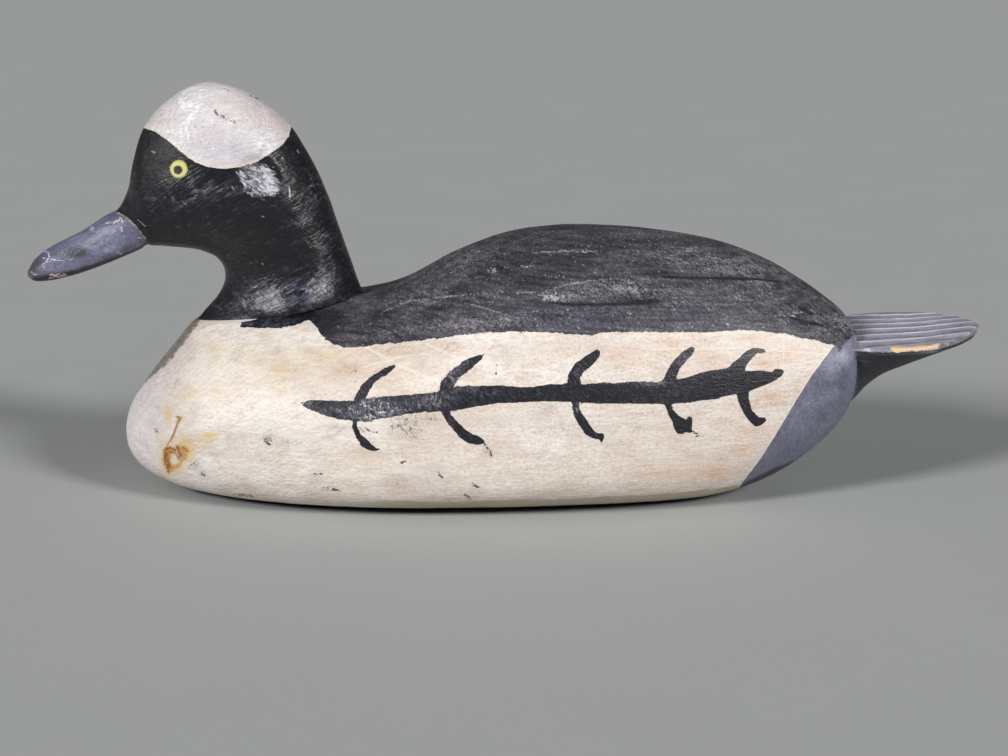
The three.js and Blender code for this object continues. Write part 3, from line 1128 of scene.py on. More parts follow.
# Drawn marks: the points that each runs through, and half its width
FLANK_LINES: Marks = (
    (((359, 344), (392, 360.5)), 1.5), (((397, 365), (440, 382)), 1.8), (((427, 344), (461, 360)), 1.6),
    (((364, 367), (398, 357), (425, 354)), 1.2), (((478, 364), (560, 374)), 1.2),
    (((640, 349), (740, 348), (835, 355)), 0.8), (((700, 370), (812, 367)), 0.8),
    (((744, 389), (803, 387)), 0.7), (((600, 424), (735, 415), (786, 413)), 0.8),
    (((690, 449), (765, 440)), 0.7), (((784, 334), (783, 369)), 0.6),
)
FLANK_NICKS: Marks = (
    (((188, 467), (196, 461.5)), 2.4), (((201, 473), (205, 476)), 1.6), (((266, 440), (269, 444)), 3.4),
    (((364, 428), (371, 431)), 2.2), (((374, 432), (378, 433)), 1.8), (((418, 429.5), (421, 430.5)), 2.0),
    (((401, 463), (405, 461)), 2.2), (((439, 473), (442.5, 478)), 2.2), (((472, 484), (478, 487)), 2.8),
    (((355.5, 364), (356, 372)), 1.4), (((497, 365), (496, 374)), 1.4),
    (((484, 444), (489, 450), (491, 456)), 2.4), (((155, 428), (157, 434)), 2.0),
    (((465, 495), (470, 499)), 2.8), (((314, 474), (322, 474)), 2.2), (((322, 488), (340, 490)), 2.6),
    (((234, 494), (252, 496)), 2.4), (((696, 436), (704, 436)), 1.6),
)
BACK_CRACKS: Marks = (
    (((374, 325), (391, 331), (404, 341)), 0.9), (((550, 302), (572, 305), (612, 304)), 1.8),
    (((612, 304), (640, 302), (658, 301)), 3.2), (((664, 277), (700, 278), (754, 279), (778, 281.5)), 1.4),
    (((792, 318), (823, 326)), 1.6), (((800, 308), (812, 314)), 2.2),
)
# Painted highlights: thin light lines where the brush ridges on the back catch the lamps
BACK_HIGHLIGHT_LINES: Marks = (
    (((378, 315), (395, 306), (416, 300)), 1.6), (((409, 301), (454, 296), (485, 292.5)), 1.5),
    (((505, 294), (533, 292), (546, 296)), 1.7), (((533, 253), (560, 251), (598, 251.5)), 1.7),
    (((543, 292.5), (564, 285.6), (602, 279), (626, 279)), 1.8), (((471, 304.5), (519, 318.4)), 1.2),
    (((628, 289), (633, 283)), 2.4), (((686, 251.5), (691, 250.5)), 2.2), (((788, 313), (820, 312)), 1.6),
)
RUST_HOLE: Point = (173.8, 460.6)
RUST_STAIN: Marks = (
    (((170, 451), (167.4, 456), (167.4, 463), (170, 468)), 6.4),
    (((170, 467.5), (176, 467), (180, 464)), 3.2),
    (((179, 449), (184, 450), (183.5, 455), (181, 459)), 6.4),
    (((178.5, 418), (176.5, 427), (171, 441)), 2.0), (((168, 449), (175, 450)), 3.6),
    (((181, 452), (184, 455)), 5.6),
)
RUST_DARK: Marks = (
    (((166.4, 452), (166, 460), (168.4, 466)), 4.8), (((167.4, 467), (168.6, 472.5)), 1.8),
    (((164.5, 450), (170, 447.5), (175, 450)), 2.2), (((168, 452.5), (174, 452), (179, 458)), 1.6),
    (((177, 447), (179.5, 451), (180.5, 456)), 2.6), (((183, 447.5), (188, 451)), 1.4),
    (((177, 417), (181.5, 417.5), (178, 423)), 1.6),
    (((178, 422), (173, 435), (168, 444), (165.5, 449)), 0.9),
)

# Round this spot the brow is darker with painted shade, and more matt
BROW: Point = (152, 150)
CROWN_MIDDLE: Point = (236, 126)
# Painted highlights: where white glints are painted on the crown, as spot, outer and inner reach
CROWN_PAINTED_GLINTS: tuple[tuple[Point, float, float], ...] = (((192, 100), 30.0, 8.0), ((268, 146), 22.0, 5.0))
EYE: Point = (178.8, 169.1)
EYE_RADIUS = 9.0
PUPIL: Point = (178.0, 170.1)
PUPIL_RADIUS = 4.4
# Painted sheen on the head and neck: streaks under the eye, on the nape and on the neck's flare
HEAD_RUB_AND_SHEEN_SPOTS: Spots = (
    (185, 199, 26, 7, 0.55), (207, 190, 20, 4, 0.6), (268, 290, 26, 12, 0.2), (314, 280, 18, 13, 0.5),
    (240, 194, 16, 5, 0.45), (288, 192, 7, 14, 0.5), (232, 185, 8, 6, 0.3), (297, 222, 14, 14, 0.35),
    (312, 190, 10, 26, 0.45), (326, 236, 9, 26, 0.35), (215, 182, 12, 6, 0.35), (150, 212, 10, 12, 0.25),
)
# Bluish painted sheen on the neck's flare and on the black over the joint
BLUE_RUB_AND_SHEEN_SPOTS: Spots = (
    (243, 320, 12, 5, 0.9), (262, 306, 28, 7, 0.5), (298, 296, 26, 8, 0.6), (320, 282, 18, 12, 0.5),
    (254, 292, 10, 12, 0.4), (285, 288, 30, 8, 0.3), (190, 195, 40, 14, 0.15), (225, 305, 16, 6, 0.3),
)
CROWN_SORES: Marks = (
    (((215, 111), (219, 116.5)), 2.2), (((221, 116), (227, 119.5), (235, 121.5)), 2.8),
    (((224, 89), (229, 90)), 1.3), (((249, 95), (258, 99)), 0.9),
)
CROWN_LILAC_SPOTS: Spots = (
    (235, 150, 34, 9, 0.8), (205, 140, 30, 12, 0.5), (258, 104, 8, 7, 0.6), (190, 92, 16, 6, 0.4),
)
CROWN_PINK_SPOTS: Spots = (
    (250, 115, 24, 14, 0.7), (275, 125, 12, 14, 0.6), (215, 100, 24, 8, 0.35), (160, 125, 12, 8, 0.4),
)
BILL_DARK_SPOTS: Spots = (
    (77.5, 252.3, 8.5, 4.2, 2.2), (38, 264, 10, 11, 0.8), (32, 272, 8, 6, 0.5), (60, 254, 10, 4, 0.3),
    (135, 232, 8, 6, 0.15), (127, 248, 9, 5, 0.4), (116, 217, 9, 3, 0.3), (52, 275, 6, 2, 0.6),
)
BILL_PALE_SPOTS: Spots = (
    (112, 232, 16, 7, 0.5), (92, 240, 18, 6, 0.25), (105, 248, 26, 5, 0.4), (50, 268, 14, 3.5, 0.6),
)
BILL_CHIP_SPOTS: Spots = (
    (53, 274.5, 3, 1.8, 0.9), (57.5, 276, 3, 2, 0.95), (63.5, 275.5, 3, 2.2, 1.0), (51, 278, 2, 1.2, 0.8),
)
HEAD_SCRATCHES: Marks = (
    (((181, 200.5), (184, 203), (186.5, 205)), 0.8), (((188, 200), (198, 194.5)), 0.5),
    (((201, 193), (211, 187.5)), 0.4), (((152, 151.5), (155, 152.5)), 0.9), (((297, 150), (299, 153)), 0.8),
    (((302, 228), (305, 222)), 0.6), (((232, 187), (235.5, 191)), 0.6), (((138, 220), (145, 226)), 0.5),
    (((207, 320.5), (219, 320.5)), 0.5), (((262, 216), (264, 217)), 0.6), (((262, 263), (263, 265)), 0.6),
)
HEAD_CHIPS: Marks = ((((289.5, 190), (290, 198)), 1.2), (((289, 187), (289.5, 189)), 0.6))
BILL_SCRATCHES: Marks = (
    (((43, 251), (48, 252.2), (49.3, 257), (46.5, 262), (42, 264.7)), 0.7), (((50, 259), (43, 258)), 0.5),
    (((50.8, 259.2), (58.5, 260.6), (66, 260.2)), 0.5), (((69, 260), (74, 259)), 0.3),
    (((43.6, 266), (45, 270)), 0.6), (((106, 223), (114, 222.4), (121, 219)), 0.9),
    (((120, 218), (122.5, 222)), 1.4), (((89.8, 229.2), (91, 226.8)), 0.6),
    (((91, 226.8), (93.6, 227.4)), 0.6), (((93.6, 227.4), (92.2, 229.8), (89.8, 229.2)), 0.5),
    (((121, 227), (122, 231)), 0.7), (((31, 271.5), (34, 274.6), (38, 274)), 0.4),
    (((117, 252), (122, 254)), 0.5), (((138, 237.5), (142, 238)), 0.6),
)
BILL_SHADE: Marks = (
    (((152, 242), (140, 249), (120, 257), (100, 264), (80, 271)), 3.2),
    (((80, 271), (60, 276), (36, 279)), 3.0),
)
BILL_RIM: Marks = ((((118, 212.8), (126, 217), (135.4, 225.8), (139.2, 230.6), (146, 239.7)), 0.95),)


# Finishes


class Coat(Paint):
    """Old oil paint in the making, with the unevenness its parts share and what lies on top so far."""

    def __init__(self, name: str) -> None:
        """Starts the finish, with its noises from finest to widest.

        Args:
            name: the material's name.
        """
        super().__init__(name)
        self.fine = self.noise(0.85, (1.25, 1.2, 1), 0.0, 3.0, 1.0, 0.9)
        self.fray = self.noise(1.5, (1.6, 1, 1), seed=5.0) * 0.34 + self.fine * 0.2
        self.patches = self.noise(5.0, (2, 1, 1), seed=6.0)
        self.broad = self.noise(18.0, (2.2, 1, 1), seed=4.0, detail=1.0)
        self.tint: Socket | None = None
        self.height: Num | None = None

    def lay(self, cover: Num, tint: Socket, relief: Num) -> Num:
        """Lays a paint over what is there.

        Args:
            cover: where it lies.
            tint: its colour.
            relief: its relief.

        Returns:
            Where it lies.
        """
        self.tint = self.mix(cover, self.tint, tint)
        self.height = self.blend(cover, self.height, relief)
        return cover

    def stain(self, share: Num, colour: Tint) -> None:
        """Tints what is there."""
        self.tint = self.mix(share, self.tint, colour)


@dataclass(frozen=True)
class GlossBlack:
    """Thick black laid with a coarse brush, on the head and over the joint of the neck."""

    deep: Colour = (26, 26, 31)
    rubbed_and_sheen: Colour = (72, 71, 82)
    blue: Colour = (100, 102, 124)
    # Pale grey of painted glints
    painted_glint: Colour = (168, 166, 182)

    def mixed(self, paint: Coat, rubbed_and_sheen: Num, blue: Num) -> tuple[Socket, Num]:
        """Mixes the black.

        Args:
            paint: the finish that it is part of.
            rubbed_and_sheen: where it is rubbed grey, and where a grey sheen is painted on it.
            blue: where a bluish grey lies on it, which on the neck's flare is painted sheen.

        Returns:
            Its colour and its relief.
        """
        strokes = paint.noise(2.1, (4, 3, 1), 28.0, 5.0, 2.0, bend=1.2)
        cross = paint.noise(1.6, (3, 2, 1), -38.0, 6.0)
        bristles = paint.noise(0.8, (5, 2, 1), 27.0, 7.0, 1.0)
        rough = strokes * 0.6 + cross * 0.4 + bristles * 0.6 + paint.fine * 0.35
        # Lighter grey where it is rubbed, and painted sheen where the lamps would shine on the gloss
        worn = (rough + paint.patches * 0.3 + rubbed_and_sheen * 1.1).rise(0.15, 1.7)
        tint = paint.mix(worn, self.deep, self.rubbed_and_sheen)
        # Bluish grey over it, which on the neck's flare is painted sheen
        tint = paint.mix((blue * (0.4 + rough * 0.9)).least(0.9), tint, self.blue)
        # Fine light hairs where it is rubbed and sheened: painted glints on its brush marks
        rubs = (rubbed_and_sheen + blue * 0.6 + paint.patches * 0.2).rise(0.2, 0.8)
        hairs = (strokes + cross * 0.3).size().rise(0.2, 0.03) * rubs
        tint = paint.mix(hairs * (0.3 + bristles * 0.9), tint, self.painted_glint)
        tint = paint.shade(tint, (1.0 + rough * 0.45).most(0.3))
        crests = 1.0 - strokes.size() * 1.4
        return tint, crests * 0.09 + cross * 0.06 + paint.patches * 0.12


@dataclass(frozen=True)
class BodyPaint:
    """Old oil paint on the body: off-white flanks, a worn black back, and a blue-grey stern and tail."""

    white: Colour = (233, 217, 205)
    bright: Colour = (250, 243, 235)
    # Lilac-grey of the painted cool shade on the front of the breast
    cool_shade: Colour = (226, 218, 222)
    cream: Colour = (220, 196, 146)
    pink: Colour = (226, 204, 196)
    peach: Colour = (222, 181, 148)
    stain: Colour = (184, 160, 140)
    grime: Colour = (96, 88, 82)
    # Dirt and painted shade along the bottom of the flanks
    low_dirt_and_shade: Colour = (160, 150, 120)
    rust: Colour = (138, 82, 20)
    rust_pale: Colour = (208, 146, 62)
    rust_halo: Colour = (234, 202, 146)
    black: Colour = (50, 49, 55)
    # The worn grey and the dust colour also paint sheen, glints and highlight lines on the back
    worn_and_sheen_black: Colour = (118, 115, 121)
    blue_black: Colour = (58, 58, 82)
    dust_and_sheen: Colour = (186, 182, 187)
    branch: Colour = (36, 36, 42)
    dry_branch: Colour = (92, 91, 106)
    stern: Colour = (112, 112, 130)
    stern_light: Colour = (154, 154, 178)
    stern_dark: Colour = (90, 90, 105)
    # Painted shadow along the stern's bottom edge
    stern_foot_shadow: Colour = (44, 44, 50)
    tail: Colour = (174, 171, 186)
    # Light ridges of the tail: rubbed paint and painted highlights
    tail_ridge_rub_and_highlight: Colour = (226, 219, 225)
    under_tail: Colour = (54, 55, 61)
    bare_wood: Colour = (244, 206, 158)
    # Painted shadow where the body meets the floor
    underside: Colour = (26, 24, 23)
    old_joint: Colour = (104, 98, 90)
    specular: float = 0.45

    def material(self) -> bpy.types.Material:
        """Lays the whole finish, in the order it was painted.

        Returns:
            The finished material.
        """
        paint = Coat("painted_body")
        streak = paint.noise(1.2, (12, 4, 1), -4.0, 41.0)
        self._flanks(paint, streak)
        self._rust(paint)
        self._stern(paint)
        black = self._back(paint, streak)
        self._branch(paint)
        tail = self._tail(paint, streak)
        # Near-black underside and lowest sides: painted shadow where the body meets the floor
        floor_shadow = (paint.level() + paint.fray * 0.9).rise(3.0, 2.2)
        paint.stain(floor_shadow, self.underside)
        gloss = paint.patches * 0.05 + paint.fine * 0.07
        roughness = 0.44 + gloss + black * 0.04 + tail * 0.03 - paint.zone("collar") * black * 0.12
        return paint.close(paint.tint, roughness, paint.height, self.specular)

    def _flanks(self, paint: Coat, streak: Num) -> None:
        """The off-white ground with its yellowing, wood showing through, smudges, and painted shade.

        Args:
            paint: the finish, still bare.
            streak: long marks of the brush.
        """
        fine, patches, broad = paint.fine, paint.patches, paint.broad
        front = paint.column.rise(440.0, 300.0)
        bow = front.most(paint.row.rise(398.0, 374.0) * paint.column.rise(620.0, 500.0))
        hatch = paint.noise(0.9, (6, 4, 1), 0.0, 1.0, 1.0, bend=0.8)
        sweep = paint.noise(1.1, (5, 2, 1), 34.0, 2.0, bend=0.8) * bow
        bristles = paint.threads(1.3, 0.3, (3.5, 2, 1), 24.0, 13.0, 0.6)
        hairs = paint.threads(0.85, 0.26, (1, 1, 3.5), 24.0, 14.0, 0.5)
        lit = (broad * 0.7 + patches * 0.5 + bow * 0.3).rise(-0.3, 0.9)
        paint.tint = paint.mix(lit, self.white, self.bright)
        paint.stain((broad * 0.4 - patches * 0.8).rise(0.1, 1.1) * 0.6, self.pink)
        # Painted cool shade: a lilac-grey tint over the front of the breast
        paint.stain(paint.zone("cool_shade"), self.cool_shade)
        warm = paint.zone("warm") * (0.8 + patches * 0.6 + sweep * 0.6 + fine * 0.3)
        paint.stain(warm.least(0.9), self.cream)
        bare = paint.zone("peach") * (0.62 + patches * 0.35 + streak * 0.7)
        paint.stain(bare.least(0.95), self.peach)
        soft = (patches * 0.9 + sweep * 0.5 + broad * 0.4).rise(0.1, 1.0) * (0.15 + front * 0.06)
        dull = paint.zone("stain") * (0.2 + sweep * 1.0 + patches * 0.4 + hairs * 0.4 + fine * 0.5)
        paint.stain((soft + dull).least(0.9), self.stain)
        mottle = 1.0 + hatch * 0.1 + sweep * 0.14 + fine * (0.2 - front * 0.06) + streak * 0.04
        paint.tint = paint.shade(paint.tint, mottle)
        paint.stain(bristles * (patches * 0.5 + bow * 0.3).rise(0.0, 0.6) * 0.32, self.bright)
        paint.stain(hairs * (broad * 0.6 - patches * 0.6).rise(0.2, 0.9) * 0.14, self.grime)
        lines = paint.drawn(FLANK_LINES, patches * 0.4 + hatch * 0.5) * (0.6 + patches * 0.5)
        paint.stain(lines.least(0.9), self.bright)
        soil = paint.zone("grime")
        worn = soil * (0.15 + hairs * 0.55 + fine * 0.8 + hatch * 0.5)
        paint.stain(worn.least(0.85), self.grime)
        paint.stain((fine + patches * 0.3 + soil * 0.7).rise(0.9, 1.35) * 0.5, self.grime)
        nick = paint.drawn(FLANK_NICKS, hatch * 0.3) * 1.5 + fine * 1.3 + hatch * 0.3
        paint.stain(nick.rise(1.25, 1.65) * 0.9, self.black)
        low = paint.level()
        # Olive-grey towards the bottom of the flanks: dirt, and painted shade where the flank turns under
        paint.stain((low + patches * 1.2 + hatch).rise(15.0, 4.0) * (0.15 - front * 0.09), self.low_dirt_and_shade)
        paint.stain((low + patches * 0.8 + hatch * 0.4).rise(7.5, 6.3) * (0.6 - front * 0.52), self.low_dirt_and_shade)
        paint.height = hatch * 0.05 + sweep * 0.09 + fine * 0.03 + patches * 0.06

    def _rust(self, paint: Coat) -> None:
        """The rust that has run from an old nail low on the near side of the breast.

        Args:
            paint: the finish, with its flanks laid.
        """
        wobble = paint.noise(1.3, seed=21.0) * 0.5 + paint.fine * 0.4
        halo = paint.zone("rust_halo") * (0.95 + wobble * 0.7) * paint.near
        paint.stain(halo.least(0.9), self.rust_halo)
        amber = paint.drawn(RUST_STAIN, wobble * 0.6) * (0.8 + wobble * 0.9)
        paint.stain(amber.least(0.95), self.rust_pale)
        brown = paint.drawn(RUST_DARK, wobble * 0.7) * (0.72 + wobble * 1.0)
        paint.stain(brown.least(0.95), self.rust)
        hole = (paint.away(RUST_HOLE) + wobble * 1.2).rise(4.2, 2.2)
        paint.stain(hole * paint.near * 0.8, self.white)

    def _stern(self, paint: Coat) -> None:
        """The blue-grey stern, laid to a straight edge, with painted shadow along its bottom edge.

        Args:
            paint: the finish so far.
        """
        depth = paint.zone("stern")
        cover = (depth + paint.fray * 0.35).rise(-0.1, 0.1)
        strokes = paint.noise(1.0, (1.4, 1.4, 7), 28.0, 32.0)
        drift = paint.patches * 0.5 + paint.broad * 0.5
        light = (drift * 0.5 + paint.zone("stern_light")).rise(-0.1, 1.2)
        grey = paint.mix(light, self.stern, self.stern_light)
        grey = paint.mix(drift.rise(-0.1, -0.9) * 0.45, grey, self.stern_dark)
        # Near-black along the stern's bottom edge: painted shadow where it rises off the floor
        lower = (paint.zone("stern_foot_shadow") + paint.fray * 0.8).rise(-0.5, 0.5)
        grey = paint.mix(lower * 0.9, grey, self.stern_foot_shadow)
        grey = paint.shade(grey, 1.0 + strokes * 0.14 + paint.fine * 0.3)
        grey = paint.mix((paint.fine + strokes * 0.4).rise(0.95, 1.3) * 0.5, grey, self.bright)
        paint.lay(cover, grey, strokes * 0.06 + paint.fine * 0.03 + 0.04)
        rim = (depth.size() + paint.fray * 0.3).rise(0.55, 0.1) * (0.5 + paint.patches * 0.5)
        paint.stain(rim * (1.0 - cover), self.bright)

    def _back(self, paint: Coat, streak: Num) -> Num:
        """The black back, rubbed grey along its strokes and flecked with dust, with painted sheen and
        highlights, and its worn front edge.

        Args:
            paint: the finish so far.
            streak: long marks of the brush.

        Returns:
            Where the black lies.
        """
        fine, broad = paint.fine, paint.broad
        cover = (paint.zone("black") + paint.fray * 1.2).rise(-0.1, 0.1)
        hatch = paint.noise(0.75, (5, 2, 1), -48.0, 47.0)
        specks = paint.noise(0.62, seed=49.0, detail=0.0)
        rubbed_and_sheen = paint.zone("rubbed_and_sheen")
        # Worn grey along the brush marks, and painted sheen on the top of the back and its ridges
        wear_and_sheen = streak * 0.5 + broad * 0.35 + paint.patches * 0.2 + hatch * 0.3 + rubbed_and_sheen * 1.25
        dark = paint.mix(wear_and_sheen.rise(-0.9, 1.9), self.black, self.worn_and_sheen_black)
        dark = paint.mix(paint.zone("blue").least(1.0) * 0.6, dark, self.blue_black)
        gloom = paint.zone("dark_streak") * (0.85 + fine * 0.4 + streak * 0.3)
        dark = paint.mix(gloom.least(0.95), dark, self.branch)
        worn = (rubbed_and_sheen + broad * 0.5 + streak * 0.3).rise(0.0, 0.9)
        loose = specks * (0.3 + worn * 0.4) + fine * 0.3 + hatch * (0.2 + worn * 0.6) + streak * 0.4
        dark = paint.shade(dark, (1.0 + loose).most(0.2))
        # Pale flecks of dust, with painted glints where the back is worn and sheened
        dust_and_sheen = specks * 0.9 + fine * 0.5 + worn * 0.35 + hatch * 0.5 + streak * 0.4
        dark = paint.mix(dust_and_sheen.rise(0.85, 1.9) * 0.65, dark, self.dust_and_sheen)
        # Pale scuffs, and painted glints and highlight streaks
        scuff_and_glint = (paint.zone("scuff_and_glint") * 1.5 + specks * 0.8 + hatch * 0.9).rise(0.8, 1.6)
        dark = paint.mix(scuff_and_glint * paint.near, dark, self.dust_and_sheen)
        # Painted highlights: thin light lines along the brush ridges
        lines = paint.drawn(BACK_HIGHLIGHT_LINES, paint.fray * 2.0) + specks * 0.4 + streak * 0.4
        dark = paint.mix(lines.rise(0.6, 1.4) * 0.6, dark, self.dust_and_sheen)
        dark = paint.mix(paint.drawn(BACK_CRACKS, paint.fray * 1.4) * 0.95, dark, self.branch)
        # Over the neck's joint the brushed gloss black, with its painted sheen
        collar = paint.zone("collar")
        gloss, thick = GlossBlack().mixed(paint, paint.zone("collar_rub_and_sheen"), paint.zone("blue"))
        relief = streak * 0.08 + fine * 0.05 + hatch * 0.05 + 0.06
        paint.lay(cover, paint.mix(collar, dark, gloss), paint.blend(collar, relief, thick + 0.06))
        front = (paint.zone("breast") + paint.fray * 2.2 + hatch * 0.4).rise(-0.2, 0.4)
        old = paint.mix(fine.rise(0.3, 0.9) * 0.6, self.old_joint, self.bright)
        old = paint.shade(old, 1.0 + streak * 0.3)
        paint.stain(front * (1.0 - cover) * (0.85 + streak * 0.2).least(1.0), old)
        return cover

    def _branch(self, paint: Coat) -> None:
        """The bold stem with its barbs along each flank, dry-brushed where the paint ran out.

        Args:
            paint: the finish so far.
        """
        fine = paint.fine
        thin = paint.zone("dry")
        bristle = paint.noise(0.8, (1, 1, 2.6), 32.0, 51.0)
        worms = paint.threads(1.2, 0.22, (1, 1, 1.8), 30.0, 53.0, 1.0)
        ragged = thin.rise(0.0, 0.6) * 0.8 + 0.5
        cover = (paint.zone("branch") + paint.fray * ragged + bristle * 0.12).rise(-0.1, 0.1)
        dry = thin * (0.8 + paint.patches * 0.5)
        gaps = (dry * 1.4 + bristle * 0.6 + fine * 0.5 + worms * 0.5 - 1.6).rise(0.0, 0.6)
        gaps = gaps * dry.rise(0.0, 0.3)
        pale = (dry * 0.9 + bristle * 0.5 + fine * 0.2).rise(0.05, 1.3)
        ink = paint.mix(pale, self.branch, self.dry_branch)
        scratches = (worms * dry.rise(0.2, 0.8) * (0.75 + bristle * 0.7)).least(1.0)
        ink = paint.mix(scratches * 0.7, ink, self.dust_and_sheen)
        ink = paint.shade(ink, (1.0 + bristle * 0.35 + fine * 0.4).most(0.3))
        whole = cover * (1.0 - gaps * 0.75) * (1.0 - (fine + dry * 0.4).rise(1.0, 1.3) * 0.6)
        paint.tint = paint.mix(whole, paint.tint, ink)
        paint.height = paint.height + cover * (bristle * 0.03 + 0.06)

    def _tail(self, paint: Coat, streak: Num) -> Num:
        """The tail: grey on top, darker in its gouges, with its ridges rubbed light and painted with
        highlights, black below, and a chip of bare wood.

        Args:
            paint: the finish so far.
            streak: long marks of the brush.

        Returns:
            Where the tail's paint lies.
        """
        x, y, _ = paint.parts(paint.place)
        along = (x / MM - TAIL_ROOT) / (TAIL_TIP - TAIL_ROOT)
        across = y / MM / (1.0 - GOUGE_TAPER * along) / GOUGE_PITCH
        off_ridge = ((across + GOUGES / 2 + 0.5).fraction() - 0.5).size() * GOUGE_PITCH
        grain = paint.noise(0.6, (14, 1.5, 1), 0.0, 62.0)
        fray = paint.fray
        # Darker towards the middle of each gouge
        even = streak * 0.4 + paint.patches * 0.08 - off_ridge * 0.15
        grey = paint.mix(even.rise(-1.8, 0.5), self.stern_dark, self.tail)
        grey = paint.shade(grey, 1.0 + grain * 0.26 + paint.fine * 0.24)
        # The ridges rubbed light, with painted highlights where they catch the lamps
        ridge = (off_ridge + streak * 0.15 + fray * 0.15).rise(1.0, 0.3) * (0.95 + grain * 0.6 + streak * 0.3)
        grey = paint.mix(ridge.least(0.95), grey, self.tail_ridge_rub_and_highlight)
        rim = paint.zone("tail_rim") + streak * 0.5 + fray * 1.1
        outer = along.rise(0.3, 0.6)
        grey = paint.mix(rim.rise(0.75, 0.2) * outer * 0.85, grey, self.tail_ridge_rub_and_highlight)
        grey = paint.mix((rim + grain * 0.6).rise(0.45, 0.1) * outer * 0.7, grey, self.under_tail)
        top = (paint.zone("tail_top") + fray * 0.5).rise(-0.15, 0.2)
        dry = (streak * 0.7 + grain * 0.8 + (along * -3.0 + 1.1)).rise(0.3, 1.8) * 0.7
        below = paint.mix(dry, self.under_tail, self.stern)
        cover = (paint.zone("tail") + fray * 1.6).rise(-1.0, 1.0)
        paint.lay(cover, paint.mix(top, below, grey), streak * 0.04 + grain * 0.03)
        chip = (paint.zone("chip") + fray * 0.6).rise(-0.1, 0.12) * paint.near
        wood = paint.mix((grain * 0.8 + streak * 0.4).rise(0.0, 1.2) * 0.6, self.bare_wood, self.peach)
        paint.lay(chip, wood, grain * 0.05 - 0.1)
        return cover


